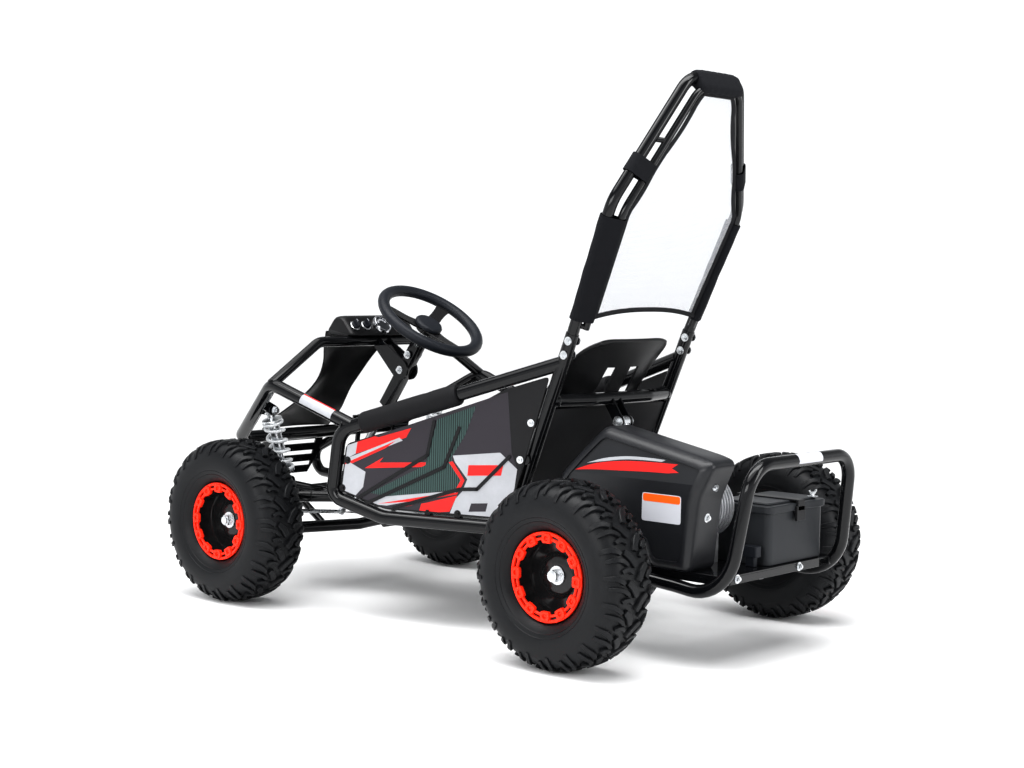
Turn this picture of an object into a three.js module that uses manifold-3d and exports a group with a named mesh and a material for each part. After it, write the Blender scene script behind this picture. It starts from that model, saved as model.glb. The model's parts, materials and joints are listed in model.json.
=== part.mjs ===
// Off road go kart with a tube frame, leaning roll hoop and rear swing frame.
// Millimetres. +X is forward, +Y is left, +Z is up.
// The sizes below count X from the rear axle and Z from the ground; the finished
// group is moved so that its origin is the middle of the footprint.
import * as THREE from "three";
import { mergeVertices } from "three/addons/utils/BufferGeometryUtils.js";
import Module from "manifold-3d";

const wasm = await Module();
wasm.setup();

// Wheels
const wheelbase = 877;
const rearHalfTrack = 345;
const frontHalfTrack = 331;
const tyreRadius = 165;
const tyreHalfWidth = 62;
const beadHalfWidth = 37;
const knobHeight = 6;
const carcassWall = 9;
const wallShares = [0.76, 0.86, 0.42];
const knobCount = 12;
const rimBarrel = 72;
const rimFlange = 78;
const rimLip = 3;
const dishDepth = 34;
const hubFlat = 34;
const discWall = 5;
const ringRadius = 78.5;
const ringWidth = 11;
const ringThickness = 6.5;
const lugCount = 12;
const lugDepth = 9;
const lugShares = [0.08, 0.24, 0.76, 0.92];
const nutRadius = 11;
const nutHeight = 9;
const washerRadius = 16;
const washerHeight = 2.5;

// Clearances
const gap = 0.3;
const runningGap = 0.5;
const overrun = 4;

// Frame tubes
const railRadius = 13.5;
const postRadius = 12.5;
const hoopRadius = 11;
const netHoopRadius = 7;
const dashTubeRadius = 11;
const crossRadius = 12.5;
const armTubeRadius = 12;
const floorTubeRadius = 11;

// Side frames, each in an upright plane that closes in towards the rear
const sideFrontX = 603;
const sideFrontY = 300;
const sideTopZ = 367;
const sideBottomZ = 236;
const bellyZ = 203;
const bellyKinkRun = 101;
const sideFrontLean = 15;
const sideRun = 476;
const sideAngle = 14.6;
const topJointZ = 518;
const cornerBend = 42;
const footBend = 26;
const kinkBend = 70;

// Front legs, from the pod corners over the front bends to the nose
const bendBack = 89;
const bendX = wheelbase - bendBack;
const bendY = 313;
const bendZ = 447;
const legStartRun = 30;
const legStub = 40;
const legBend = 45;
const noseAhead = 108;
const noseX = wheelbase + noseAhead;
const noseY = 225;
const noseZ = 318;

// Nose rails and lower front tubes
const noseRailY = 95;
const noseTipAhead = 235;
const noseTipX = wheelbase + noseTipAhead;
const noseTipZ = 257;
const noseChinAhead = 201;
const noseChinX = wheelbase + noseChinAhead;
const noseChinZ = 214;
const skidBack = 15;
const skidX = wheelbase - skidBack;
const skidZ = 134;
const skidHalf = 168;
const skidBow = 7;
const skidSag = 8;
const strutLean = 110;
const strutRadius = 8;
const railRiseAhead = 23;
const railRiseX = wheelbase + railRiseAhead;
const noseBend = 30;

// Rear posts, crossbar and belly tubes
const postFootX = 262;
const postFootY = 176;
const postFootZ = 214;
const postJointX = 142;
const postJointY = 181;
const postTopZ = 572;
const crossbarZ = 446;
const crossbarBow = 24;
const crossbarBendY = 85;

// Roll hoop
const hoopKneeX = 24;
const hoopKneeY = 199;
const hoopKneeZ = 811;
const hoopTopX = -50;
const hoopTopY = 78;
const hoopTopZ = 1036;
const hoopBend = 40;
const netHoopInset = 17;
const netHoopBack = 13;
const netHoopFoot = 588;

// Dash hoop
const dashHoopBack = 82;
const dashHoopX = wheelbase - dashHoopBack;
const dashHoopY = 180;
const dashHoopZ = 528;
const columnLength = 160;
const columnTubeSize = 25;
const columnAngle = 34.3;
const columnStart = 45;
const pitmanLength = 455;
const bracketPlate = 4;
const bracketReach = 110;
const boltHead = 7;
const wheelHubBack = 218;
const wheelHubX = wheelbase - wheelHubBack;
const wheelHubZ = 560;
const steeringRadius = 107;
const steeringGrip = 12.5;
const steeringDish = 18;
const steeringHub = 22;
const steeringPad = 30;
const steeringPadHeight = 8;
const spokeRadius = 7;
const shaftRadius = 8;
const pitmanRadius = 44;
const pitmanHalf = 24;

// Front suspension
const pivotY = 118;
const armZ = 205;
const armRearBack = 109;
const armRearX = wheelbase - armRearBack;
const armFrontAhead = 85;
const armFrontX = wheelbase + armFrontAhead;
const armSleeve = 44;
const armSleeveRadius = 11;
const armTipY = 214;
const armTipZ = 203;
const yokeHalf = 17;
const lugPlate = 5;
const pivotRadius = 6;
const kingpinY = 240;
const kingpinRadius = 6;
const kingpinBarrel = 13;
const yokeTopZ = 200;
const yokeBottomZ = 134;
const yokePlate = 6;
const spindleRadius = 8;
const steerArmBack = 71;
const steerArmX = wheelbase - steerArmBack;
const steerArmY = 230;
const steerArmZ = 190;
const tieRodRadius = 5;
const tieEyeRadius = 8;
const tieEyeHeight = 12;
const steerArmPlate = 6;

// Front shocks
const shockBack = 12;
const shockTopX = wheelbase - shockBack;
const shockTopY = 250;
const shockTopZ = 386;
const shockFootY = 200;
const shockFootZ = 236;
const shockEye = 11;
const shockEyeHalf = 9;
const shockTube = 12;
const shockRod = 5;
const shockRodTop = 61;
const shockBoreTop = 35;
const collarRadius = 21;
const collarHeight = 5;
const shockNeck = 9;
const coilRadius = 19;
const coilWire = 3.4;
const coilTurns = 6;
const shockBodyShare = 0.56;

// Rear swing frame, axle and rear shock
const swingPivotX = 225;
const swingPivotZ = 190;
const swingHalf = 148;
const swingTube = 14;
const swingRadius = 12;
const swingStartY = 122;
const swingBolt = 7;
const swingBendX = 188;
const swingBendY = 140;
const swingRearX = 96;
const swingRearZ = 172;
const bridgeX = 102;
const bridgeRadius = 10;
const carrierY = 178;
const carrierThickness = 10;
const carrierRun = 36;
const carrierHeight = 54;
const axleRadius = 10;
const sprocketY = 160;
const sprocketRadius = 66;
const sprocketTeeth = 16;
const sprocketThickness = 5;
const discY = 243;
const discRadius = 80;
const discThickness = 4;
const discHoles = 8;
const discHoleRadius = 4;
const discHoleShare = 0.82;
const caliperWall = 8;
const caliperHalf = 11;
const caliperRun = 26;
const caliperArm = 12;
const caliperGripShare = 0.62;
const rearShockY = 28;
const rearShockTopX = 118;
const rearShockTopZ = 404;
const rearShockFootX = 48;
const rearShockFootZ = 232;

// Rear bumper
const bumperRailZ = 150;
const bumperCornerX = 173;
const bumperCornerZ = 137;
const bumperBackX = 253;
const bumperMidZ = 263;
const bumperHalf = 191;
const bumperTopX = 262;
const bumperTopZ = 362;
const bumperTopHalf = 162;
const bumperTopBend = 55;
const trayZ = 165;
const trayPlate = 3.5;
const trayBackX = 222;
const trayFrontX = 58;
const trayHalf = 168;
const trayLip = 30;

// Motor, its cover and the battery box
const motorX = -92;
const motorZ = 270;
const motorRadius = 58;
const motorInnerY = 38;
const motorOuterY = 150;
const motorFins = 3;
const finDepth = 4;
const motorFootShare = 0.55;
const pinionRadius = 16;
const chainWidth = 8;
const chainHeight = 7;
const toothHeight = 4;
const coverOuterY = 188;
const coverInnerY = 66;
const coverWall = 3;
const coverBevel = 14;
const coverFrontX = 54;
const coverFrontZ = 406;
const coverNoseX = 138;
const coverNoseZ = 314;
const coverToeX = 150;
const coverToeZ = 262;
const coverBackX = 190;
const coverBackZ = 358;
const coverTailX = 150;
const coverTailZ = trayZ + trayPlate + gap;
const coverArchZ = 206;
const coverArchX = 52;
const coverCrestX = 164;
const coverCrestZ = 366;
const coverTailStep = 14;
const coverWaistZ = 295;
const coverHeelX = 66;
const coverLowX = 100;
const coverMidX = 92;
const coverMidZ = 366;
const boxBackX = 214;
const boxFrontX = 96;
const boxLeftY = 30;
const boxRightY = 152;
const boxTopZ = 262;
const lidHeight = 18;
const lidLip = 5;
const boxCorner = 14;
const boxLatchY = 60;

// Floor, firewall and seat
const floorPlate = 2;
const floorTubeZ = 192;
const floorFrontBack = 39;
const floorFrontX = wheelbase - floorFrontBack;
const floorBackX = 284;
const floorNarrowX = 618;
const firewallPlate = 3;
const firewallSet = 9;
const firewallTopZ = 430;
const firewallFootZ = 232;
const seatWall = 4;
const seatTopX = 108;
const seatTopZ = 556;
const seatLipX = 440;
const seatLipZ = 292;
const seatLipRun = 34;
const seatLipDrop = 30;
const seatPanFrontX = 330;
const seatPanBackX = 268;
const seatPanZ = 262;
const seatHipX = 238;
const seatHipZ = 290;
const seatLumbarX = 208;
const seatLumbarZ = 372;
const seatMidX = 186;
const seatMidZ = 432;
const seatShoulderX = 146;
const seatShoulderZ = 500;
const seatHalfTop = 118;
const seatHalfBack = 138;
const seatHalfPan = 150;
const seatHalfLip = 140;
const seatHalfShoulder = 130;
const seatWing = 52;
const seatStepShare = 0.02;
const seatWingShares = [0.1, 0.5, 1, 1, 1, 1, 0.95, 0.6, 0.15];
const seatSlotHalf = 9;
const seatSlotY = 36;
const seatSlotTopZ = 506;
const seatSlotFootZ = 432;
const seatPegRadius = 12;
const seatPegX = 286;
const seatPegFrontX = 330;
const seatPegY = 90;

// Side panels and foam sleeves
const panelPlate = 3;
const panelMargin = 16.5;
const panelStep = 13.5;
const panelStepStart = 292;
const panelStepEnd = 350;
const panelFootRun = 380;
const panelHeadRun = 474;
const panelCorner = 12;
const panelScrewShares = [[0.04, 0.337], [0.017, 0.162], [0.418, 0.063], [0.553, 0.063]];
const panelBeadShares = [
  [[0.441, 0.61], [0.412, 0.403], [0.092, 0.108]],
  [[0.555, 0.581], [0.489, 0.34], [0.109, 0.06]],
  [[0.26, 0.065], [0.56, 0.213], [0.639, 0.222], [0.779, 0.432]],
];
const postScrewShares = [[0.868, 0.638], [0.824, 0.416]];
const beadHeight = 2.4;
const beadHalf = 3.5;
const tabPlate = 2.5;
const tabRadius = 9;
const foamRadius = 21;
const foamStartRun = 52;
const foamEndRun = 262;

// Roll hoop cover and net
const sleeveWall = 2.5;
const sleeveFootZ = 592;
const sleeveTopZ = 788;
const hemHeight = 12;
const hemZ = 612;
const bandWidth = 7;
const padWall = 6;
const netPlate = 1.2;
const netColumns = 5;
const netRows = 7;
const netStrandShare = 0.16;
const padHalf = 74;

// Dash, fairing and bash plate
const dashHalf = 97;
const dashBevel = 5;
const dashFaceRun = 36;
const dashFaceRise = 42;
const dashRoofRun = 26;
const dashDepth = 86;
const dashNoseHeight = 12;
const gaugeRadius = 20;
const gaugeHeight = 9;
const knobRadius = 9;
const knobLength = 15;
const knobY = 78;
const knobSpacing = 32;
const fairingWall = 3;
const fairingHalf = 100;
const fairingBow = 26;
const fairingCrown = 24;
const fairingHalfShares = [0.98, 0.86, 0.7, 0.62, 0.62, 0.72, 0.86, 0.97, 1];
const fairingBowShares = [0, 0.5, 0.85, 1, 0.95, 0.75, 0.5, 0.22, 0];
const fairingCrownShares = [0.2, 0.5, 0.8, 1, 1, 0.9, 0.7, 0.4, 0.2];
const fairingFootAhead = 187;
const fairingFootX = wheelbase + fairingFootAhead;
const fairingFootZ = 327;
const bashPlate = 4;
const bashTopAhead = 179;
const bashTopX = wheelbase + bashTopAhead;
const bashTopZ = 318;
const bashFootAhead = 215;
const bashFootX = wheelbase + bashFootAhead;
const bashFootZ = 214;
const bashHalfTop = 88;
const bashHalfFoot = 66;
const bashSlotHalf = 68;
const bashSlotHeight = 11;

// Pedals and brake
const pedalBack = 65;
const pedalX = wheelbase - pedalBack;
const pedalY = 60;
const pedalPivotZ = 222;
const pedalHeight = 152;
const pedalPadWidth = 48;
const pedalPadHeight = 40;
const pedalPivotRadius = 5;
const pedalSleeve = 30;
const pedalAngle = 7;

// Counts and angles
const tubeSides = 8;
const barSides = 8;
const roundSides = 10;
const wheelSegments = 20;
const rimSegments = 16;
const ringSegments = 24;
const arcStep = 36;
const deg = Math.PI / 180;
const weld = 0.001;

// Finishes
const glossBlack = [0x0d0e10, 0.28, 0.55];
const satinBlack = [0x17181a, 0.55, 0.1];
const foamBlack = [0x1a1a1c, 0.92, 0];
const rubberBlack = [0x141414, 0.88, 0];
const steel = [0xa9adb2, 0.32, 0.9];
const zinc = [0xc9ccd0, 0.35, 0.85];
const red = [0xd8261c, 0.42, 0.05];
const grey = [0x3a3d41, 0.5, 0.1];

function at(x, y, z) {
  return new THREE.Vector3(x, y, z);
}

// Closed solids and back
function toSolid(geometry) {
  const bare = geometry.clone();
  bare.deleteAttribute("normal");
  bare.deleteAttribute("uv");
  const merged = mergeVertices(bare, weld);
  const index = merged.index.array;
  const place = merged.attributes.position;
  const kept = [];
  for (let i = 0; i < index.length; i += 3) {
    const [a, b, c] = [index[i], index[i + 1], index[i + 2]];
    if (a !== b && b !== c && c !== a) {
      kept.push(a, b, c);
    }
  }
  const corner = (i) => at(place.getX(i), place.getY(i), place.getZ(i));
  let volume = 0;
  for (let i = 0; i < kept.length; i += 3) {
    volume += corner(kept[i]).dot(corner(kept[i + 1]).cross(corner(kept[i + 2])));
  }
  if (volume < 0) {
    kept.reverse();
  }
  const mesh = new wasm.Mesh({
    numProp: 3,
    vertProperties: new Float32Array(place.array),
    triVerts: new Uint32Array(kept),
  });
  return new wasm.Manifold(mesh);
}

function toGeometry(solid) {
  const mesh = solid.getMesh();
  const geometry = new THREE.BufferGeometry();
  geometry.setAttribute("position", new THREE.BufferAttribute(new Float32Array(mesh.vertProperties), 3));
  geometry.setIndex(new THREE.BufferAttribute(new Uint32Array(mesh.triVerts), 1));
  geometry.computeVertexNormals();
  return geometry;
}

function join(...solids) {
  return solids.flat().reduce((whole, next) => whole.add(next));
}

function carve(base, ...tools) {
  return tools.flat().reduce((rest, tool) => rest.subtract(tool), base);
}

// Mirror image across the upright middle plane
function handed(solid, side) {
  if (side > 0) {
    return solid;
  }
  const geometry = toGeometry(solid);
  geometry.scale(1, -1, 1);
  return toSolid(geometry);
}

function moved(solid, matrix) {
  const geometry = toGeometry(solid);
  geometry.applyMatrix4(matrix);
  return toSolid(geometry);
}

// Line of straight runs with its corners rounded, as stations with tangents
function rounded(points, bends) {
  const stations = [];
  const last = points.length - 1;
  points.forEach((point, i) => {
    const before = i > 0 ? point.clone().sub(points[i - 1]).normalize() : null;
    const after = i < last ? points[i + 1].clone().sub(point).normalize() : null;
    if (!before || !after) {
      stations.push({ point: point.clone(), tangent: (before || after).clone() });
      return;
    }
    const turn = before.angleTo(after);
    const radius = Array.isArray(bends) ? bends[i - 1] : bends;
    const reach = radius * Math.tan(turn / 2);
    const steps = Math.max(1, Math.ceil(turn / deg / arcStep));
    const inward = after.clone().sub(before).normalize();
    const centre = point.clone().addScaledVector(inward, radius / Math.cos(turn / 2));
    const axis = before.clone().cross(after).normalize();
    const start = point.clone().addScaledVector(before, -reach).sub(centre);
    for (let k = 0; k <= steps; k += 1) {
      const angle = (turn * k) / steps;
      stations.push({
        point: centre.clone().add(start.clone().applyAxisAngle(axis, angle)),
        tangent: before.clone().applyAxisAngle(axis, angle),
      });
    }
  });
  return stations;
}

class Route extends THREE.Curve {
  constructor(stations) {
    super();
    this.stations = stations;
  }

  getPoint(share, target = new THREE.Vector3()) {
    const place = share * (this.stations.length - 1);
    const first = Math.min(Math.floor(place), this.stations.length - 2);
    return target.copy(this.stations[first].point).lerp(this.stations[first + 1].point, place - first);
  }

  getPointAt(share, target) {
    return this.getPoint(share, target);
  }

  getTangent(share, target = new THREE.Vector3()) {
    return target.copy(this.stations[Math.round(share * (this.stations.length - 1))].tangent);
  }

  getTangentAt(share, target) {
    return this.getTangent(share, target);
  }
}

function disc(radius, sides) {
  const shape = new THREE.Shape();
  for (let k = 0; k < sides; k += 1) {
    const angle = ((k + 0.5) * 2 * Math.PI) / sides;
    const method = k === 0 ? "moveTo" : "lineTo";
    shape[method](radius * Math.cos(angle), radius * Math.sin(angle));
  }
  shape.closePath();
  return shape;
}

// Round tube along straight runs with bends
function tube(points, radius, bends = cornerBend, sides = tubeSides) {
  const stations = rounded(points, bends);
  const options = { steps: stations.length - 1, bevelEnabled: false, extrudePath: new Route(stations) };
  return toSolid(new THREE.ExtrudeGeometry(disc(radius, sides), options));
}

// Round bar from one place to another
function bar(from, to, radius, sides = barSides) {
  return tube([from, to], radius, 0, sides);
}

function block(low, high) {
  const size = high.clone().sub(low);
  const geometry = new THREE.BoxGeometry(size.x, size.y, size.z);
  const middle = low.clone().add(high).multiplyScalar(0.5);
  geometry.translate(middle.x, middle.y, middle.z);
  return toSolid(geometry);
}

function flatShape(points) {
  return new THREE.Shape(points.map(([a, b]) => new THREE.Vector2(a, b)));
}

// Plate with its outline in x and z, between two places in y
function sidePlate(points, fromY, toY, bevel = 0) {
  const options = bevel
    ? {
        depth: toY - fromY - 2 * bevel,
        bevelThickness: bevel,
        bevelSize: bevel,
        bevelOffset: -bevel,
        bevelSegments: 2,
      }
    : { depth: toY - fromY, bevelEnabled: false };
  const geometry = new THREE.ExtrudeGeometry(flatShape(points), options);
  geometry.translate(0, 0, bevel);
  geometry.rotateX(Math.PI / 2);
  geometry.translate(0, toY, 0);
  return toSolid(geometry);
}

// Outline of a belt round two circles, the second at a distance and direction from the first
function belt(firstRadius, secondRadius, from, to, count = 3) {
  const [dx, dz] = [to[0] - from[0], to[1] - from[1]];
  const run = Math.hypot(dx, dz);
  const heading = Math.atan2(dz, dx);
  const open = Math.acos((firstRadius - secondRadius) / run);
  const points = [];
  for (let k = 0; k <= count; k += 1) {
    const angle = heading + open + ((2 * Math.PI - 2 * open) * k) / count;
    points.push([from[0] + firstRadius * Math.cos(angle), from[1] + firstRadius * Math.sin(angle)]);
  }
  for (let k = 0; k <= count; k += 1) {
    const angle = heading - open + (2 * open * k) / count;
    points.push([to[0] + secondRadius * Math.cos(angle), to[1] + secondRadius * Math.sin(angle)]);
  }
  return points;
}

// Outline moved inwards by a margin
function inset(points, margin) {
  const count = points.length;
  const turning = points.reduce((sum, [a, b], i) => {
    const [c, d] = points[(i + 1) % count];
    return sum + a * d - b * c;
  }, 0);
  const side = Math.sign(turning);
  const edges = points.map(([a, b], i) => {
    const [c, d] = points[(i + 1) % count];
    const run = Math.hypot(c - a, d - b);
    const normal = [(-(d - b) / run) * side, ((c - a) / run) * side];
    return { start: [a + normal[0] * margin, b + normal[1] * margin], along: [(c - a) / run, (d - b) / run] };
  });
  return edges.map((edge, i) => {
    const last = edges[(i + count - 1) % count];
    const cross = last.along[0] * edge.along[1] - last.along[1] * edge.along[0];
    const gapX = edge.start[0] - last.start[0];
    const gapZ = edge.start[1] - last.start[1];
    const share = (gapX * edge.along[1] - gapZ * edge.along[0]) / cross;
    return [last.start[0] + last.along[0] * share, last.start[1] + last.along[1] * share];
  });
}

// Outline with every corner rounded
function softened(points, radius) {
  const count = points.length;
  const loop = points.map(([a, b]) => at(a, b, 0));
  const result = [];
  loop.forEach((corner, i) => {
    const run = rounded([loop[(i + count - 1) % count], corner, loop[(i + 1) % count]], radius);
    run.slice(1, -1).forEach(({ point }) => result.push([point.x, point.y]));
  });
  return result;
}

// Turned body about the y axis from a closed profile of radius and y
function turned(profile, segments = wheelSegments) {
  const line = [...profile, profile[0]].map(([radius, y]) => new THREE.Vector2(radius, y));
  return toSolid(new THREE.LatheGeometry(line, segments));
}

// Disc or ring about the y axis
function washer(outer, inner, fromY, toY, segments = barSides) {
  return turned([[inner, fromY], [outer, fromY], [outer, toY], [inner, toY]], segments);
}

const kart = new THREE.Group();

function add(name, solid, look, parent = kart) {
  const [color, roughness, metalness] = look;
  const mesh = new THREE.Mesh(
    toGeometry(solid),
    new THREE.MeshStandardMaterial({ color, roughness, metalness, flatShading: true }),
  );
  mesh.name = name;
  parent.add(mesh);
  return mesh;
}

function group(position, parent = kart) {
  const child = new THREE.Group();
  child.position.copy(position);
  parent.add(child);
  return child;
}

function both(solid) {
  return [solid, handed(solid, -1)];
}

function pair(name, solid, look) {
  add(`left_${name}`, solid, look);
  add(`right_${name}`, handed(solid, -1), look);
}

function pipe({ path, radius, bends = cornerBend }, extra = 0) {
  return tube(path, radius + extra / Math.cos(Math.PI / tubeSides), bends);
}

// Plate with its outline in y and z, between two places in x
function crossPlate(points, fromX, toX) {
  const geometry = new THREE.ExtrudeGeometry(flatShape(points), { depth: toX - fromX, bevelEnabled: false });
  geometry.applyMatrix4(new THREE.Matrix4().makeBasis(at(0, 1, 0), at(0, 0, 1), at(1, 0, 0)));
  geometry.translate(fromX, 0, 0);
  return toSolid(geometry);
}

// Plate with its outline in x and y, between two heights
function levelPlate(points, fromZ, toZ) {
  const geometry = new THREE.ExtrudeGeometry(flatShape(points), { depth: toZ - fromZ, bevelEnabled: false });
  geometry.translate(0, 0, fromZ);
  return toSolid(geometry);
}

// Everything above a height, wide enough for any cut
function above(z) {
  return block(at(-wheelbase, -wheelbase, z), at(wheelbase * 2, wheelbase, z + wheelbase));
}

function below(z) {
  return block(at(-wheelbase, -wheelbase, z - wheelbase), at(wheelbase * 2, wheelbase, z));
}

// Side frames
const slant = sideAngle * deg;
const railZ = (run) => sideTopZ + ((topJointZ - sideTopZ) * run) / sideRun;
const inSide = (run, z) => at(sideFrontX - run * Math.cos(slant), sideFrontY - run * Math.sin(slant), z);
const bellyEndRun = (sideFrontX - postFootX + crossRadius) / Math.cos(slant);
const sidePlaces = new THREE.Matrix4()
  .makeBasis(at(-Math.cos(slant), -Math.sin(slant), 0), at(0, 0, 1), at(-Math.sin(slant), Math.cos(slant), 0))
  .setPosition(sideFrontX, sideFrontY, 0);

// Plate in the slanted side plane, its outline in run and z, between two offsets outwards
function slantPlate(points, fromOut, toOut) {
  const geometry = new THREE.ExtrudeGeometry(flatShape(points), { depth: toOut - fromOut, bevelEnabled: false });
  geometry.translate(0, 0, fromOut);
  geometry.applyMatrix4(sidePlaces);
  return toSolid(geometry);
}

const loopPipe = {
  path: [
    inSide(sideRun, topJointZ),
    inSide(0, sideTopZ),
    inSide(-sideFrontLean, sideBottomZ),
    inSide(bellyKinkRun, bellyZ),
    inSide(bellyEndRun, bellyZ),
  ],
  radius: railRadius,
  bends: [cornerBend, footBend, kinkBend],
};
const legPipe = {
  path: [
    inSide(legStartRun, railZ(legStartRun)),
    at(bendX, bendY, bendZ),
    at(noseX, noseY, noseZ),
    at(noseX, noseY - legStub, noseZ),
  ],
  radius: railRadius,
  bends: [legBend, noseBend],
};
const screwPlace = ([runShare, heightShare]) => [sideRun * runShare, bellyZ + (topJointZ - bellyZ) * heightShare];
const tabOut = -panelPlate / 2 - gap;

// Point of the front tube of a side frame at a height
const frontRun = (z) => (-sideFrontLean * (sideTopZ - z)) / (sideTopZ - sideBottomZ);

function panelTabs() {
  return panelScrewShares.map((shares, i) => {
    const screw = screwPlace(shares);
    const root = i < 2 ? [frontRun(screw[1]), screw[1]] : [screw[0], bellyZ];
    return slantPlate(belt(tabRadius, tabRadius, root, screw, 2), tabOut - tabPlate, tabOut);
  });
}

// Point of a front leg at a place along x
function legAt(x) {
  const share = (x - bendX) / (noseX - bendX);
  return [bendY + (noseY - bendY) * share, bendZ + (noseZ - bendZ) * share];
}

function shockBracket() {
  const inner = shockEyeHalf + runningGap;
  const plates = [shockTopX + inner, shockTopX - inner - bracketPlate].map((x) => {
    const outline = belt(tabRadius, shockEye, legAt(x + bracketPlate / 2), [shockTopY, shockTopZ]);
    return crossPlate(outline, x, x + bracketPlate);
  });
  const reach = inner + bracketPlate + washerHeight;
  const bolt = bar(
    at(shockTopX - reach, shockTopY, shockTopZ),
    at(shockTopX + reach, shockTopY, shockTopZ),
    pivotRadius,
  );
  return join(plates, bolt);
}

const postSlope = (postFootX - postJointX) / (topJointZ - postFootZ);
const postSpread = (postJointY - postFootY) / (topJointZ - postFootZ);
const postAt = (z) => at(postFootX - postSlope * (z - postFootZ), postFootY + postSpread * (z - postFootZ), z);
const postPipe = { path: [postAt(bellyZ), postAt(postTopZ + postRadius)], radius: postRadius };

function sideFrame() {
  const frame = join(pipe(loopPipe), pipe(legPipe), panelTabs(), shockBracket());
  return carve(frame, pipe(postPipe, gap));
}

const leftSide = sideFrame();
pair("side_frame", leftSide, glossBlack);

// Rear frame: posts, crossbar, lower cross tube, shock clevis and swing pivot
const crossPipe = {
  path: [at(postFootX, -sideFrontY, bellyZ), at(postFootX, sideFrontY, bellyZ)],
  radius: crossRadius,
};
const crossbarPoint = postAt(crossbarZ);
const crossbarPipe = {
  path: [
    crossbarPoint.clone().multiply(at(1, -1, 1)),
    at(crossbarPoint.x - crossbarBow, -crossbarBendY, crossbarZ),
    at(crossbarPoint.x - crossbarBow, crossbarBendY, crossbarZ),
    crossbarPoint,
  ],
  radius: crossRadius,
};

function postTabs() {
  return postScrewShares.map((shares) => {
    const screw = screwPlace(shares);
    const post = postAt(screw[1]);
    const run = (sideFrontX - post.x) / Math.cos(slant);
    return slantPlate(belt(tabRadius, tabRadius, [run, screw[1]], screw), tabOut - postRadius, tabOut);
  });
}

function rearClevis() {
  const inner = shockEyeHalf + runningGap;
  const outline = belt(
    tabRadius,
    shockEye,
    [crossbarPoint.x - crossbarBow, crossbarZ],
    [rearShockTopX, rearShockTopZ],
  );
  const plates = [rearShockY + inner, rearShockY - inner - bracketPlate].map((y) =>
    sidePlate(outline, y, y + bracketPlate),
  );
  const reach = inner + bracketPlate + washerHeight;
  const bolt = bar(
    at(rearShockTopX, rearShockY - reach, rearShockTopZ),
    at(rearShockTopX, rearShockY + reach, rearShockTopZ),
    pivotRadius,
  );
  return join(plates, bolt);
}

function swingHanger() {
  const inner = swingHalf + runningGap;
  const outline = belt(crossRadius, swingTube, [postFootX, bellyZ], [swingPivotX, swingPivotZ]);
  const plates = [inner, -inner - bracketPlate].map((y) => sidePlate(outline, y, y + bracketPlate));
  const reach = inner + bracketPlate + washerHeight;
  const bolt = bar(at(swingPivotX, -reach, swingPivotZ), at(swingPivotX, reach, swingPivotZ), swingBolt);
  return join(plates, bolt);
}

// Everything outboard of the side frames, up to the top of their belly tubes
function outboard() {
  const top = bellyZ + railRadius;
  const outline = [
    [-sideRun, 0],
    [sideRun * 2, 0],
    [sideRun * 2, top],
    [-sideRun, top],
  ];
  return both(slantPlate(outline, 0, sideRun));
}

function rearFrame() {
  const posts = both(join(pipe(postPipe), postTabs()));
  const whole = join(posts, pipe(crossPipe), pipe(crossbarPipe), rearClevis(), swingHanger());
  const trims = both(pipe(loopPipe, gap));
  return carve(whole, trims, outboard(), above(postTopZ));
}

const rear = rearFrame();
add("rear_frame", rear, glossBlack);

// Front frame: nose rails that run on as floor rails, skid tube, struts and arm pivots
const floorRailZ = (x) => {
  if (x <= floorNarrowX) {
    return floorTubeZ;
  }
  if (x <= railRiseX) {
    return floorTubeZ + ((armZ - floorTubeZ) * (x - floorNarrowX)) / (railRiseX - floorNarrowX);
  }
  return armZ + ((noseChinZ - armZ) * (x - railRiseX)) / (noseChinX - railRiseX);
};
const nosePipe = {
  path: [
    at(noseX, noseRailY, noseZ),
    at(noseTipX, noseRailY, noseTipZ),
    at(noseChinX, noseRailY, noseChinZ),
    at(railRiseX, noseRailY, armZ),
    at(floorNarrowX, noseRailY, floorTubeZ),
    at(postFootX, noseRailY, floorTubeZ),
  ],
  radius: floorTubeRadius,
  bends: [noseBend, noseBend, kinkBend, kinkBend],
};

const columnTurn = new THREE.Matrix4().makeRotationY(-columnAngle * deg).setPosition(wheelHubX, 0, wheelHubZ);
const alongColumn = (distance) => at(0, 0, -distance).applyMatrix4(columnTurn);
const bearingAt = pitmanLength - shockEyeHalf * 3;

function bearingPlate() {
  const half = lugPlate / 2;
  const plate = block(
    at(-columnTubeSize / 2, -noseRailY, -bearingAt - half),
    at(columnTubeSize / 2, noseRailY, -bearingAt + half),
  );
  const boss = bar(at(0, 0, -bearingAt - lugPlate), at(0, 0, -bearingAt + lugPlate), shaftRadius * 2);
  const bore = bar(
    at(0, 0, -bearingAt - lugPlate - overrun),
    at(0, 0, -bearingAt + lugPlate + overrun),
    (shaftRadius + runningGap) / Math.cos(Math.PI / barSides),
  );
  return moved(carve(join(plate, boss), bore), columnTurn);
}

function armPivot() {
  const rearLug = armRearX - armSleeve / 2 - runningGap - lugPlate;
  const frontLug = armFrontX + armSleeve / 2 + runningGap;
  const middleLug = (armRearX + armFrontX - lugPlate) / 2;
  const lugs = [rearLug, middleLug, frontLug].map((x) =>
    crossPlate(belt(tabRadius, tabRadius, [noseRailY, floorRailZ(x)], [pivotY, armZ]), x, x + lugPlate),
  );
  return join(lugs, bar(at(rearLug, pivotY, armZ), at(frontLug + lugPlate, pivotY, armZ), pivotRadius));
}

const skidAt = (y) => {
  const share = 1 - Math.abs(y) / skidHalf;
  return at(skidX - skidBow * share, y, skidZ - skidSag * share);
};

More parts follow.
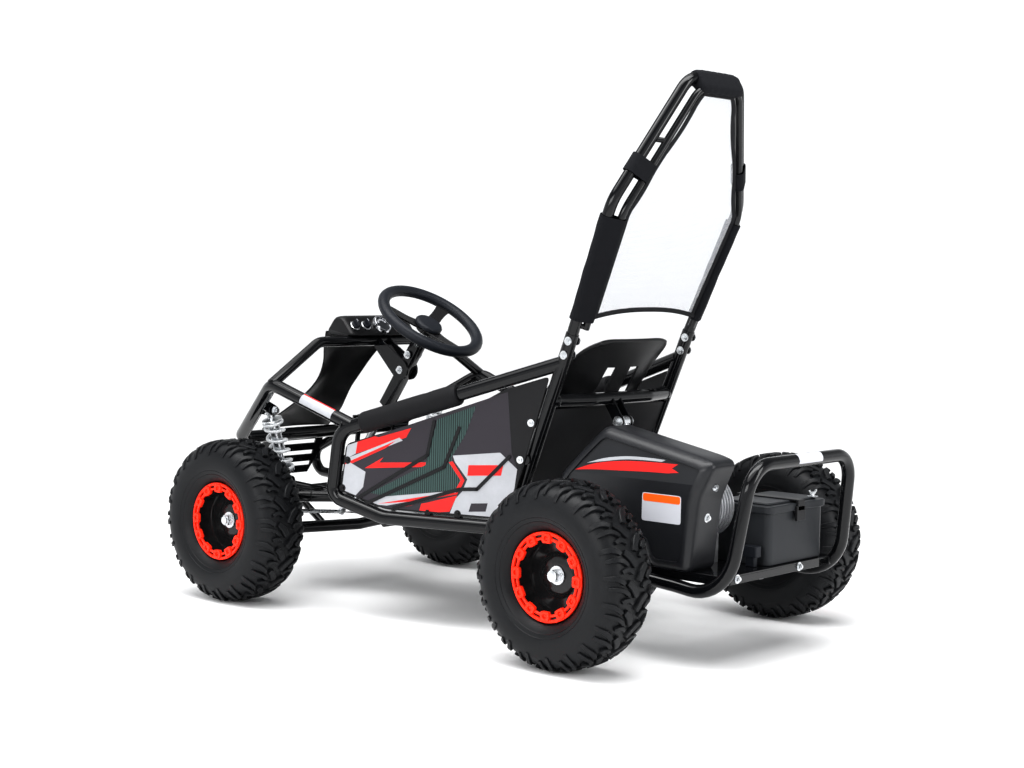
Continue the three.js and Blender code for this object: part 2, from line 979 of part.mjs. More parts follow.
// Bash plate between the nose rails, with its slots
const bashRun = Math.hypot(bashFootX - bashTopX, bashTopZ - bashFootZ);
const bashTilt = Math.atan2(bashFootX - bashTopX, bashTopZ - bashFootZ);

function bashPlateSolid() {
  const outline = [
    [-bashHalfTop, 0],
    [-bashHalfTop, -bashRun / 2],
    [-bashHalfFoot, -bashRun],
    [bashHalfFoot, -bashRun],
    [bashHalfTop, -bashRun / 2],
    [bashHalfTop, 0],
  ];
  const shape = flatShape(outline);
  for (let k = 0; k < 3; k += 1) {
    const z = -bashRun * (k + 1) / 4;
    const slot = [
      [-bashSlotHalf, z - bashSlotHeight],
      [bashSlotHalf, z - bashSlotHeight],
      [bashSlotHalf, z],
      [-bashSlotHalf, z],
    ];
    shape.holes.push(new THREE.Path(slot.map(([a, b]) => new THREE.Vector2(a, b))));
  }
  const geometry = new THREE.ExtrudeGeometry(shape, { depth: bashPlate, bevelEnabled: false });
  geometry.applyMatrix4(
    new THREE.Matrix4().makeBasis(
      at(0, 1, 0),
      at(-Math.sin(bashTilt), 0, Math.cos(bashTilt)),
      at(Math.cos(bashTilt), 0, Math.sin(bashTilt)),
    ),
  );
  geometry.translate(bashTopX, 0, bashTopZ);
  return toSolid(geometry);
}

function pedalRod() {
  const lug = (y) => {
    const outline = belt(tabRadius, tabRadius, [pedalX, floorRailZ(pedalX)], [pedalX, pedalPivotZ]);
    return sidePlate(outline, y - lugPlate / 2, y + lugPlate / 2);
  };
  const rod = bar(at(pedalX, -noseRailY, pedalPivotZ), at(pedalX, noseRailY, pedalPivotZ), pedalPivotRadius);
  return join(lug(noseRailY), lug(-noseRailY), rod);
}

function frontFrame() {
  const half = noseY - legStub - gap;
  const strut = bar(skidAt(noseRailY), at(skidX + strutLean, noseRailY, armZ), strutRadius);
  const sideParts = both(join(pipe(nosePipe), strut, armPivot()));
  const crossHalf = sideFrontY;
  const kink = inSide(bellyKinkRun, floorTubeZ);
  const whole = join(
    sideParts,
    bar(at(noseX, -half, noseZ), at(noseX, half, noseZ), railRadius, tubeSides),
    tube([skidAt(-skidHalf), skidAt(0), skidAt(skidHalf)], crossRadius),
    bar(at(kink.x, -crossHalf, floorTubeZ), at(kink.x, crossHalf, floorTubeZ), strutRadius, tubeSides),
    bearingPlate(),
    bashPlateSolid(),
    pedalRod(),
  );
  return carve(whole, outboard(), both(pipe(loopPipe, gap)), pipe(crossPipe, gap));
}

const front = frontFrame();
add("front_frame", front, glossBlack);

// Dash hoop with the steering column and its bracket
const dashPipe = {
  path: [
    at(bendX, -bendY, bendZ),
    at(dashHoopX, -dashHoopY, dashHoopZ),
    at(dashHoopX, dashHoopY, dashHoopZ),
    at(bendX, bendY, bendZ),
  ],
  radius: dashTubeRadius,
};

function columnTube() {
  const half = columnTubeSize / 2;
  const box = block(at(-half, -half, -columnStart - columnLength), at(half, half, -columnStart));
  const bore = bar(
    at(0, 0, -columnStart - columnLength - overrun),
    at(0, 0, -columnStart + overrun),
    (shaftRadius + runningGap) / Math.cos(Math.PI / barSides),
  );
  return moved(carve(box, bore), columnTurn);
}

function dashHoop() {
  const low = alongColumn(bracketReach);
  const inner = columnTubeSize / 2;
  const outline = belt(dashTubeRadius, columnTubeSize, [dashHoopX, dashHoopZ], [low.x, low.z]);
  const plates = [inner, -inner - bracketPlate].map((y) => sidePlate(outline, y, y + bracketPlate));
  const bore = bar(
    at(0, 0, -columnStart - columnLength - overrun),
    at(0, 0, -columnStart + overrun),
    shaftRadius + runningGap,
  );
  const bolts = [columnStart + columnTubeSize, bracketReach].map((distance) => {
    const place = alongColumn(distance);
    const reach = inner + bracketPlate + nutHeight / 2;
    const whole = bar(at(place.x, -reach, place.z), at(place.x, reach, place.z), boltHead, tubeSides);
    const middle = block(
      at(place.x - inner, -inner, place.z - inner),
      at(place.x + inner, inner, place.z + inner),
    );
    return whole.subtract(middle);
  });
  const tools = both(pipe(legPipe, gap));
  return carve(join(pipe(dashPipe), plates, columnTube(), bolts), moved(bore, columnTurn), tools);
}

add("dash_hoop", dashHoop(), glossBlack);

// Roll hoop: outer hoop with a thinner net hoop inside and behind it, joined by stand-offs
const hoopFoot = postAt(postTopZ);
const hoopPath = (inward, back) => {
  const tuck = (point) => at(point.x - back, point.y - inward, point.z);
  const foot = tuck(hoopFoot);
  const knee = tuck(at(hoopKneeX, hoopKneeY, hoopKneeZ));
  const top = tuck(at(hoopTopX, hoopTopY, hoopTopZ - inward));
  const other = (point) => point.clone().multiply(at(1, -1, 1));
  return [foot, knee, top, other(top), other(knee), other(foot)];
};
const outerHoop = { path: hoopPath(0, 0), radius: hoopRadius, bends: [kinkBend, hoopBend, hoopBend, kinkBend] };
const innerHoop = { path: hoopPath(netHoopInset, netHoopBack), radius: netHoopRadius, bends: outerHoop.bends };

// Point of a hoop leg at a height
function hoopAt(hoop, z) {
  const [foot, knee, top] = hoop.path;
  const [from, to] = z < knee.z ? [foot, knee] : [knee, top];
  return from.clone().lerp(to, (z - from.z) / (to.z - from.z));
}

function rollHoop() {
  const standOff = (z) => bar(hoopAt(outerHoop, z), hoopAt(innerHoop, z), netHoopRadius / 2, tubeSides);
  const stands = both(join([netHoopFoot, (hoopKneeZ + hoopTopZ) / 2].map(standOff)));
  const inner = carve(pipe(innerHoop), below(netHoopFoot - netHoopRadius));
  return carve(join(pipe(outerHoop), inner, stands), below(postTopZ + gap));
}

add("roll_hoop", rollHoop(), glossBlack);

// Floor pan and firewall
const panZ = floorTubeZ + floorTubeRadius + gap;

function floorPan() {
  const nose = noseRailY - floorTubeRadius - gap;
  const margin = (railRadius + gap) / Math.cos(slant);
  const edge = (run) => inSide(run, panZ);
  const back = floorBackX;
  const backHalf = edge((sideFrontX - back) / Math.cos(slant)).y - margin;
  const kink = edge(bellyKinkRun);
  const corner = edge(0);
  const half = [
    [back, backHalf],
    [kink.x, kink.y - margin],
    [corner.x, corner.y - margin],
    [floorNarrowX - floorTubeRadius, nose],
    [floorFrontX, nose],
  ];
  const outline = [...half, ...half.map(([x, y]) => [x, -y]).reverse()];
  return carve(levelPlate(outline, panZ, panZ + floorPlate), both(pipe(loopPipe, gap)));
}

add("floor_pan", floorPan(), satinBlack);

const leanBack = Math.atan(postSlope);

function firewall() {
  const half = postFootY;
  const tall = (firewallTopZ - firewallFootZ) / Math.cos(leanBack);
  const outline = softened([[-half, 0], [half, 0], [half, tall], [-half, tall]], boxCorner);
  const geometry = new THREE.ExtrudeGeometry(flatShape(outline), { depth: firewallPlate, bevelEnabled: false });
  const place = postAt(firewallFootZ);
  geometry.applyMatrix4(
    new THREE.Matrix4().makeBasis(
      at(0, 1, 0),
      at(-Math.sin(leanBack), 0, Math.cos(leanBack)),
      at(Math.cos(leanBack), 0, Math.sin(leanBack)),
    ),
  );
  geometry.translate(place.x - firewallSet, 0, place.z);
  return carve(toSolid(geometry), both(pipe(postPipe, gap)));
}

add("firewall", firewall(), satinBlack);

// Sheet of even thickness over a grid of points
function sheet(columns, rows, surface, wall) {
  const points = [];
  for (let i = 0; i <= rows; i += 1) {
    for (let j = 0; j <= columns; j += 1) {
      points.push(surface(j / columns, i / rows));
    }
  }
  const width = columns + 1;
  const pick = (i, j) => points[Math.min(Math.max(i, 0), rows) * width + Math.min(Math.max(j, 0), columns)];
  const under = points.map((point, n) => {
    const [i, j] = [Math.floor(n / width), n % width];
    const across = pick(i, j + 1).clone().sub(pick(i, j - 1));
    const along = pick(i + 1, j).clone().sub(pick(i - 1, j));
    return point.clone().addScaledVector(across.cross(along).normalize(), wall);
  });
  const all = [...points, ...under];
  const faces = [];
  const quad = (a, b, c, d) => faces.push(a, b, c, a, c, d);
  const lift = points.length;
  for (let i = 0; i < rows; i += 1) {
    for (let j = 0; j < columns; j += 1) {
      const [a, b, c, d] = [i * width + j, i * width + j + 1, (i + 1) * width + j + 1, (i + 1) * width + j];
      quad(d, c, b, a);
      quad(lift + a, lift + b, lift + c, lift + d);
    }
  }
  const rim = [];
  for (let j = 0; j < columns; j += 1) rim.push(j);
  for (let i = 0; i < rows; i += 1) rim.push(i * width + columns);
  for (let j = columns; j > 0; j -= 1) rim.push(rows * width + j);
  for (let i = rows; i > 0; i -= 1) rim.push(i * width);
  rim.forEach((a, n) => {
    const b = rim[(n + 1) % rim.length];
    quad(a, b, lift + b, lift + a);
  });
  const geometry = new THREE.BufferGeometry();
  const flat = new Float32Array(all.flatMap((point) => [point.x, point.y, point.z]));
  geometry.setAttribute("position", new THREE.BufferAttribute(flat, 3));
  geometry.setIndex(faces);
  return toSolid(geometry);
}

// Place on a line of points at a share of its count, smoothly
function onCurve(points, share) {
  const curve = new THREE.CatmullRomCurve3(points, false, "centripetal");
  return curve.getPointAt(share);
}

// Bucket seat: lip, pan, hip bend and back with its wings
function seatShell() {
  const line = [
    at(seatLipX, seatHalfLip, seatLipZ),
    at(seatLipX - seatLipRun, seatHalfPan, seatLipZ - seatLipDrop / 2),
    at(seatPanFrontX, seatHalfPan, seatPanZ),
    at(seatPanBackX, seatHalfPan, seatPanZ),
    at(seatHipX, seatHalfPan, seatHipZ),
    at(seatLumbarX, seatHalfBack, seatLumbarZ),
    at(seatMidX, seatHalfBack, seatMidZ),
    at(seatShoulderX, seatHalfShoulder, seatShoulderZ),
    at(seatTopX, seatHalfTop, seatTopZ),
  ];
  const surface = (across, along) => {
    const middle = onCurve(line, along);
    const next = onCurve(line, Math.min(1, along + seatStepShare));
    const ahead = next.sub(onCurve(line, Math.max(0, along - seatStepShare)));
    const inward = at(-ahead.z, 0, ahead.x).normalize().negate();
    const reach = across * 2 - 1;
    const wing = seatWing * Math.pow(Math.abs(reach), 3) * seatWingShares[Math.min(8, Math.round(along * 8))];
    return at(middle.x, middle.y * reach, middle.z).addScaledVector(inward, wing);
  };
  return surface;
}

function seat() {
  const surface = seatShell();
  const shell = sheet(6, 10, surface, -seatWall);
  const slots = [seatSlotY, -seatSlotY].map((y) =>
    block(
      at(-seatLipX, y - seatSlotHalf, seatSlotFootZ),
      at(seatLipX, y + seatSlotHalf, seatSlotTopZ),
    ),
  );
  const pegTop = seatPanZ + seatWing * Math.pow(seatPegY / seatHalfPan, 3) - seatWall / 2;
  const pegs = [seatPegX, seatPegFrontX].flatMap((x) =>
    [seatPegY, -seatPegY].map((y) => bar(at(x, y, panZ + floorPlate + gap), at(x, y, pegTop), seatPegRadius)),
  );
  return join(carve(shell, slots), pegs);
}

add("seat", seat(), satinBlack);

// Side panels with raised beads
const panelLoop = [
  [0, railZ(0) - panelStep],
  [-sideFrontLean, sideBottomZ],
  [bellyKinkRun, bellyZ],
  [panelFootRun, bellyZ],
  [panelHeadRun, railZ(panelHeadRun)],
  [panelStepEnd, railZ(panelStepEnd)],
  [panelStepStart, railZ(panelStepStart) - panelStep],
];

function sidePanel() {
  const half = panelPlate / 2;
  const base = slantPlate(softened(inset(panelLoop, panelMargin), panelCorner), -half, half);
  const beads = panelBeadShares.map((line) => {
    const places = line.map(screwPlace);
    const runs = places.slice(1).map((place, i) => belt(beadHalf, beadHalf, places[i], place, 1));
    return join(runs.map((run) => slantPlate(run, 0, half + beadHeight)));
  });
  return carve(join(base, beads), pipe(loopPipe, gap));
}

pair("side_panel", sidePanel(), satinBlack);

// Foam sleeves on the top rails
function foamSleeve() {
  const place = (run) => inSide(run, railZ(run));
  const outer = bar(place(foamStartRun), place(foamEndRun), foamRadius);
  const inner = { path: [place(foamStartRun - foamRadius), place(foamEndRun + foamRadius)], radius: railRadius };
  return carve(outer, pipe(inner, gap + gap));
}

pair("foam_sleeve", foamSleeve(), foamBlack);

// Hoop cover: a sleeve round both tubes of each leg, edge bands, top pad and bottom hem
const legAxes = (z) => {
  const outer = hoopAt(outerHoop, z);
  const inner = hoopAt(innerHoop, z);
  const up = outerHoop.path[1].clone().sub(outerHoop.path[0]).normalize();
  const across = inner.clone().sub(outer);
  across.addScaledVector(up, -across.dot(up)).normalize();
  return { outer, up, across, side: up.clone().cross(across) };
};

function legSection(extra, fromZ, toZ, stretch = 1) {
  const { outer, up, across, side } = legAxes(fromZ);
  const inner = hoopAt(innerHoop, fromZ);
  const apart = inner.clone().sub(outer).dot(across);
  const outline = belt((hoopRadius + extra) * stretch, (netHoopRadius + extra) * stretch, [0, 0], [apart, 0], 5);
  const depth = (toZ - fromZ) / up.z;
  const geometry = new THREE.ExtrudeGeometry(flatShape(outline), { depth, bevelEnabled: false });
  geometry.applyMatrix4(new THREE.Matrix4().makeBasis(across, side.clone().negate(), up.clone().negate()));
  const end = outer.clone().addScaledVector(up, depth);
  geometry.translate(end.x, end.y, end.z);
  return toSolid(geometry);
}

// Width of the opening inside the net hoop at a height
const netHalf = (z) => hoopAt(innerHoop, z).y - netHoopRadius - gap - gap;

function hoopCover() {
  const bore = gap + gap;
  const sleeve = carve(
    legSection(bore + sleeveWall, sleeveFootZ, sleeveTopZ),
    legSection(bore, sleeveFootZ - overrun, sleeveTopZ + overrun, 1 / Math.cos(Math.PI / 9)),
  );
  const bandPath = [sleeveTopZ - hemHeight, hoopKneeZ, hoopTopZ - netHoopInset].map((z) => {
    const place = hoopAt(innerHoop, Math.min(z, innerHoop.path[2].z));
    return at(place.x, place.y - netHoopRadius - gap - gap - bandWidth / 2, z);
  });
  const band = tube(bandPath, bandWidth / 2, 0, 4);
  const hem = bar(
    at(hoopAt(innerHoop, hemZ).x, -netHalf(hemZ) + sleeveWall / 2, hemZ),
    at(hoopAt(innerHoop, hemZ).x, netHalf(hemZ) - sleeveWall / 2, hemZ),
    hemHeight / 2,
    4,
  );
  const top = outerHoop.path[2];
  const tuck = innerHoop.path[2];
  const padOutline = belt(
    hoopRadius + padWall,
    netHoopRadius + padWall,
    [top.x, top.z],
    [tuck.x, tuck.z],
  );
  const pad = sidePlate(padOutline, -padHalf, padHalf);
  const reach = [-padHalf - overrun, padHalf + overrun];
  const bores = [[top, hoopRadius], [tuck, netHoopRadius]].map(([place, radius]) =>
    bar(...reach.map((y) => at(place.x, y, place.z)), (radius + bore) / Math.cos(Math.PI / tubeSides), tubeSides),
  );
  const whole = join(both(join(sleeve, band)), hem, pad);
  return carve(whole, bores, pipe(outerHoop, gap), pipe(innerHoop, gap));
}

add("hoop_cover", hoopCover(), foamBlack);

// Lattice of flat strands over a surface, with square gaps between them
function lattice(columns, rows, surface, wall) {
  const lines = (count) => {
    const inner = [];
    for (let k = 0; k < count; k += 1) {
      inner.push((k + netStrandShare / 2) / count, (k + 1 - netStrandShare / 2) / count);
    }
    return [0, ...inner, 1];
  };
  const [across, up] = [lines(columns), lines(rows)];
  const width = across.length;
  const points = [];
  [-wall / 2, wall / 2].forEach((offset) => {
    up.forEach((v) => across.forEach((u) => points.push(surface(u, v, offset))));
  });
  const lift = width * up.length;
  const solidAt = (i, j) => i >= 0 && j >= 0 && i < up.length - 1 && j < width - 1 && !(i % 2 && j % 2);
  const faces = [];
  const quad = (a, b, c, d) => faces.push(a, b, c, a, c, d);
  for (let i = 0; i < up.length - 1; i += 1) {
    for (let j = 0; j < width - 1; j += 1) {
      if (solidAt(i, j)) {
        const [a, b, c, d] = [i * width + j, i * width + j + 1, (i + 1) * width + j + 1, (i + 1) * width + j];
        quad(d, c, b, a);
        quad(lift + a, lift + b, lift + c, lift + d);
        const walls = [[a, b, i - 1, j], [b, c, i, j + 1], [c, d, i + 1, j], [d, a, i, j - 1]];
        walls.filter(([, , row, column]) => !solidAt(row, column)).forEach(([from, to]) => {
          quad(from, to, lift + to, lift + from);
        });
      }
    }
  }
  const geometry = new THREE.BufferGeometry();
  const flat = new Float32Array(points.flatMap((point) => [point.x, point.y, point.z]));
  geometry.setAttribute("position", new THREE.BufferAttribute(flat, 3));
  geometry.setIndex(faces);
  return toSolid(geometry);
}

// Net stretched inside the net hoop
function hoopNet() {
  const low = hemZ + hemHeight / 2 + gap;
  const high = hoopTopZ - netHoopInset - netHoopRadius - padWall - gap;
  const surface = (across, up, offset) => {
    const z = low + (high - low) * up;
    const edge = netHalf(z) - bandWidth - gap;
    return at(hoopAt(innerHoop, z).x + offset, edge * (2 * across - 1), z);
  };
  return lattice(netColumns, netRows, surface, netPlate);
}

add("hoop_net", hoopNet(), [0xd8dadd, 0.8, 0]);

// Dash box, its sloped face carrying two switches and the gauge
const dashBaseZ = dashHoopZ + dashTubeRadius * Math.cos(Math.PI / tubeSides) + gap;
const dashFootX = dashHoopX - dashFaceRun / 2;
const faceTilt = Math.atan2(dashFaceRun, dashFaceRise);

function dashBox() {
  const roofX = dashFootX + dashFaceRun;
  const roofZ = dashBaseZ + dashFaceRise;
  const outline = [
    [dashFootX, dashBaseZ],
    [dashFootX + dashDepth, dashBaseZ],
    [dashFootX + dashDepth, dashBaseZ + dashNoseHeight],
    [roofX + dashRoofRun, roofZ],
    [roofX, roofZ],
  ];
  return sidePlate(outline, -dashHalf, dashHalf, dashBevel);
}

add("dash_box", dashBox(), satinBlack);

// Group on the sloped face of the dash, its own z square to the face
function onDash(y) {
  const middle = group(at(dashFootX + dashFaceRun / 2, y, dashBaseZ + dashFaceRise / 2));
  middle.rotation.set(0, faceTilt - Math.PI / 2, 0);
  return middle;
}

const capBar = (radius, from, to, sides = barSides) => bar(at(0, 0, from), at(0, 0, to), radius, sides);

function switchKnob() {
  const collar = capBar(knobRadius + washerHeight, gap, gap + washerHeight, roundSides);
  const barrel = capBar(knobRadius, gap, gap + knobLength / 2, roundSides);
  const grip = block(at(-knobRadius, -knobRadius / 3, gap), at(knobRadius, knobRadius / 3, gap + knobLength));
  return join(collar, barrel, grip);
}

add("power_switch", switchKnob(), steel, onDash(knobY));
add("drive_switch", switchKnob(), satinBlack, onDash(knobY - knobSpacing));
const gaugeBody = join(
  capBar(gaugeRadius, gap, gap + gaugeHeight, roundSides),
  capBar(gaugeRadius + washerHeight, gap, gap + gaugeHeight / 3, roundSides),
);
add("battery_gauge", gaugeBody, steel, onDash(0));

// Nose fairing: a bent blade with turned down edges, narrow in the middle
function noseFairing() {
  const start = at(dashFootX + dashDepth + fairingWall + gap, 0, dashBaseZ + dashNoseHeight);
  const end = at(fairingFootX, 0, fairingFootZ);
  const run = end.clone().sub(start);
  const bulge = at(-run.z, 0, run.x).normalize();
  const surface = (across, along) => {
    const row = along * (fairingHalfShares.length - 1);
    const first = Math.min(Math.floor(row), fairingHalfShares.length - 2);
    const mix = (shares) => shares[first] + (shares[first + 1] - shares[first]) * (row - first);
    const reach = across * 2 - 1;
    const middle = start.clone().addScaledVector(run, along);
    const crown = fairingCrown * reach * reach * mix(fairingCrownShares);
    middle.addScaledVector(bulge, -fairingBow * mix(fairingBowShares) - crown);
    middle.y = fairingHalf * mix(fairingHalfShares) * reach;
    return middle;
  };
  const behind = block(at(0, -wheelbase, 0), at(dashFootX + dashDepth + gap, wheelbase, wheelbase));
  return carve(sheet(6, 8, surface, fairingWall), behind);
}

add("nose_fairing", noseFairing(), satinBlack);

// Steering wheel and shaft, drawn along the column
const column = group(at(wheelHubX, 0, wheelHubZ));
column.rotation.set(0, -columnAngle * deg, 0);

function steeringWheel() {
  const rim = new THREE.TorusGeometry(steeringRadius, steeringGrip, barSides, wheelSegments);
  rim.translate(0, 0, steeringDish);
  const spokes = [60, 180, 300].map((angle) => {
    const away = angle * deg;
    const end = at(Math.cos(away) * steeringRadius, Math.sin(away) * steeringRadius, steeringDish);
    return bar(at(0, 0, 0), end, spokeRadius);
  });
  const hub = capBar(steeringHub, -steeringDish / 2, spokeRadius, roundSides);
  const padSolid = capBar(steeringPad, spokeRadius / 2, spokeRadius + steeringPadHeight, roundSides);
  return join(toSolid(rim), spokes, hub, padSolid);
}

add("steering_wheel", steeringWheel(), rubberBlack, column);

const pitmanLow = -pitmanLength;

function steeringShaft() {
  const shaft = capBar(shaftRadius, pitmanLow - lugPlate, -steeringDish / 2 - gap, roundSides);
  const flange = capBar(steeringHub / 2, -steeringDish / 2 - gap - lugPlate, -steeringDish / 2 - gap, roundSides);
  const arms = [pitmanHalf, -pitmanHalf].map((y) =>
    levelPlate(belt(shaftRadius * 2, tieEyeRadius, [0, 0], [-pitmanRadius, y]), pitmanLow, pitmanLow + lugPlate),
  );
  return join(shaft, flange, arms);
}

add("steering_shaft", steeringShaft(), steel, column);

// Front arms, knuckles and tie rods
function frontArm() {
  const tip = at(wheelbase, armTipY, armTipZ);
  const sleeves = [armRearX, armFrontX].map((x) =>
    bar(at(x - armSleeve / 2, pivotY, armZ), at(x + armSleeve / 2, pivotY, armZ), armSleeveRadius),
  );
  const legs = [armRearX, armFrontX].map((x) => bar(at(x, pivotY, armZ), tip, armTubeRadius));
  const bore = (pivotRadius + runningGap) / Math.cos(Math.PI / barSides);
  const pivotBore = bar(at(armRearX - armSleeve, pivotY, armZ), at(armFrontX + armSleeve, pivotY, armZ), bore);
  const webOut = kingpinY - kingpinBarrel - runningGap * 2;
  const tipOut = kingpinY + kingpinBarrel;
  const near = wheelbase - yokeHalf;
  const far = wheelbase + yokeHalf;
  const web = block(at(near, webOut - yokePlate, yokeBottomZ - yokePlate), at(far, webOut, yokeTopZ + yokePlate));
  const notch = block(
    at(near - overrun, webOut - yokePlate - overrun, steerArmZ - steerArmPlate),
    at(wheelbase, tipOut, steerArmZ + steerArmPlate),
  );
  const plates = [yokeTopZ, yokeBottomZ - yokePlate].map((z) =>
    block(at(near, webOut - yokePlate, z), at(far, tipOut, z + yokePlate)),
  );
  const pin = bar(
    at(wheelbase, kingpinY, yokeBottomZ - yokePlate - nutHeight),
    at(wheelbase, kingpinY, yokeTopZ + yokePlate + washerHeight),
    kingpinRadius,
  );
  const inner = shockEyeHalf + runningGap;
  const lugs = [shockTopX + inner, shockTopX - inner - bracketPlate].map((x) =>
    crossPlate(belt(shockEye, shockEye, [shockFootY, armZ], [shockFootY, shockFootZ]), x, x + bracketPlate),
  );
  const foot = bar(
    at(shockTopX - inner - bracketPlate, shockFootY, shockFootZ),
    at(shockTopX + inner + bracketPlate, shockFootY, shockFootZ),
    pivotRadius,
  );
  return carve(join(legs, sleeves, carve(web, notch), plates, pin, lugs, foot), pivotBore);
}

pair("front_arm", frontArm(), glossBlack);

const dishFace = beadHalfWidth + gap + rimLip - dishDepth;
const hubOut = dishFace + rimLip * 2;
const hubBack = dishFace - discWall;

// Nut, washer and threaded end on the outside of a hub, standing at the wheel's middle
function hubNut(radius, y) {
  const start = y + hubOut + runningGap;
  return join(
    bar(at(0, start, 0), at(0, start + washerHeight, 0), washerRadius, roundSides),
    bar(at(0, start, 0), at(0, start + washerHeight + nutHeight, 0), nutRadius, 6),
    bar(at(0, start, 0), at(0, start + washerHeight + nutHeight + radius / 2, 0), radius),
  );
}

function knuckle() {
  const barrel = bar(
    at(0, 0, yokeBottomZ + runningGap),
    at(0, 0, yokeTopZ - runningGap),
    kingpinBarrel,
    roundSides,
  );
  const bore = bar(
    at(0, 0, yokeBottomZ - overrun),
    at(0, 0, yokeTopZ + overrun),
    (kingpinRadius + runningGap) / Math.cos(Math.PI / barSides),
  );
  const away = frontHalfTrack - kingpinY;
  const spindle = bar(at(0, 0, tyreRadius), at(0, away + hubOut + overrun, tyreRadius), spindleRadius);
  const back = away + hubBack - runningGap;
  const shoulder = bar(at(0, back - shockEye, tyreRadius), at(0, back, tyreRadius), washerRadius, roundSides);
  const nut = moved(hubNut(spindleRadius, away), new THREE.Matrix4().makeTranslation(0, 0, tyreRadius));
  const armEnd = [steerArmX - wheelbase, steerArmY - kingpinY];
  const arm = levelPlate(
    belt(kingpinBarrel - washerHeight, tieEyeRadius, [0, 0], armEnd),
    steerArmZ - steerArmPlate / 2,
    steerArmZ + steerArmPlate / 2,
  );
  return carve(join(barrel, spindle, shoulder, nut, arm), bore);
}

const knuckleSolid = knuckle();
[["left", 1], ["right", -1]].forEach(([word, side]) => {
  add(`${word}_knuckle`, handed(knuckleSolid, side), steel, group(at(wheelbase, side * kingpinY, 0)));
});

function tieRod() {
  const pitman = at(-pitmanRadius, 0, pitmanLow - gap - tieEyeHeight / 2).applyMatrix4(columnTurn);
  pitman.y = pitmanHalf;
  const outer = at(steerArmX, steerArmY, steerArmZ - steerArmPlate / 2 - gap - tieEyeHeight / 2);
  const up = at(0, 0, tieEyeHeight / 2);
  const share = 1 / 2;
  const along = at(0, 0, tieEyeHeight / 2).applyAxisAngle(at(0, 1, 0), -columnAngle * deg);
  return join(
    bar(pitman.clone().sub(along), pitman.clone().add(along), tieEyeRadius),
    bar(outer.clone().sub(up), outer.clone().add(up), tieEyeRadius),
    bar(pitman.clone().addScaledVector(along, -share), outer, tieRodRadius, 6),
  );
}

pair("tie_rod", tieRod(), steel);

// Wheels
const tread = {
  angles: [-0.275, 0.275, 0.5],
  high: [1, 1, 0],
};

function tyre() {
  const flat = Math.cos((tread.angles[1] * 2 * Math.PI) / knobCount);
  const bead = (rimBarrel + gap) / flat;
  const crown = tyreRadius / flat;
  const base = crown - knobHeight;
  const half = tyreHalfWidth;
  const side = [
    { y: beadHalfWidth, radius: (rimFlange + gap) / flat, lift: 0, sweep: 0 },
    { y: half, radius: tyreRadius * wallShares[0], lift: 0, sweep: 0.5 },
    { y: half * wallShares[1], radius: base - knobHeight, lift: knobHeight, sweep: 0.5 },
    { y: half * wallShares[2], radius: base, lift: knobHeight, sweep: 0 },
  ];
  const liner = [
    { y: half * wallShares[1] - carcassWall, radius: base - carcassWall, lift: 0, sweep: 0 },
    { y: beadHalfWidth - carcassWall, radius: bead, lift: 0, sweep: 0 },
  ];
  const mirror = (row) => ({ ...row, y: -row.y });
  const rows = [
    ...side,
    ...[...side].reverse().map(mirror),
    ...[...liner].reverse().map(mirror),
    ...liner,
  ];
  const columns = knobCount * tread.angles.length;
  const points = [];
  for (let j = 0; j < columns; j += 1) {
    const kind = j % tread.angles.length;
    const knob = Math.floor(j / tread.angles.length);
    rows.forEach((row) => {
      const angle = ((knob + tread.angles[kind] + row.sweep) * 2 * Math.PI) / knobCount;
      const radius = row.radius + (tread.high[kind] ? row.lift : 0);
      points.push(radius * Math.sin(angle), row.y, -radius * Math.cos(angle));
    });
  }
  const faces = [];
  for (let j = 0; j < columns; j += 1) {
    for (let i = 0; i < rows.length; i += 1) {
      const next = (i + 1) % rows.length;
      const [a, b] = [j * rows.length + i, j * rows.length + next];
      const [c, d] = [((j + 1) % columns) * rows.length + next, ((j + 1) % columns) * rows.length + i];
      faces.push(a, b, c, a, c, d);
    }
  }
  const geometry = new THREE.BufferGeometry();
  geometry.setAttribute("position", new THREE.BufferAttribute(new Float32Array(points), 3));
  geometry.setIndex(faces);
  return toSolid(geometry);
}

function rim(bore) {
  const seatY = beadHalfWidth + gap;
  const lipY = seatY + rimLip;
  const inner = rimBarrel - rimLip;
  return turned([
    [bore, hubBack],
    [bore, hubOut],
    [hubFlat, hubOut],
    [hubFlat + rimLip * 2, dishFace],
    [inner - rimLip, dishFace],
    [inner, lipY],
    [rimFlange, lipY],
    [rimFlange, seatY],
    [rimBarrel, seatY],
    [rimBarrel, -seatY],
    [rimFlange, -seatY],
    [rimFlange, -lipY],
    [inner, -lipY],
    [inner - rimLip, hubBack],
  ], rimSegments);
}

function lugRing() {
  const outline = [];
  for (let k = 0; k < lugCount; k += 1) {
    const inner = ringRadius - ringWidth;
    const radii = [inner, inner - lugDepth, inner - lugDepth, inner];
    lugShares.forEach((share, i) => {
      const angle = ((k + share) * 2 * Math.PI) / lugCount;
      outline.push(new THREE.Vector2(radii[i] * Math.sin(angle), radii[i] * Math.cos(angle)));
    });
  }
  const shape = disc(ringRadius, ringSegments);
  shape.holes.push(new THREE.Path(outline));
  const geometry = new THREE.ExtrudeGeometry(shape, { depth: ringThickness, bevelEnabled: false });
  geometry.rotateX(Math.PI / 2);
  geometry.translate(0, beadHalfWidth + gap + rimLip + gap + ringThickness, 0);
  return toSolid(geometry);
}

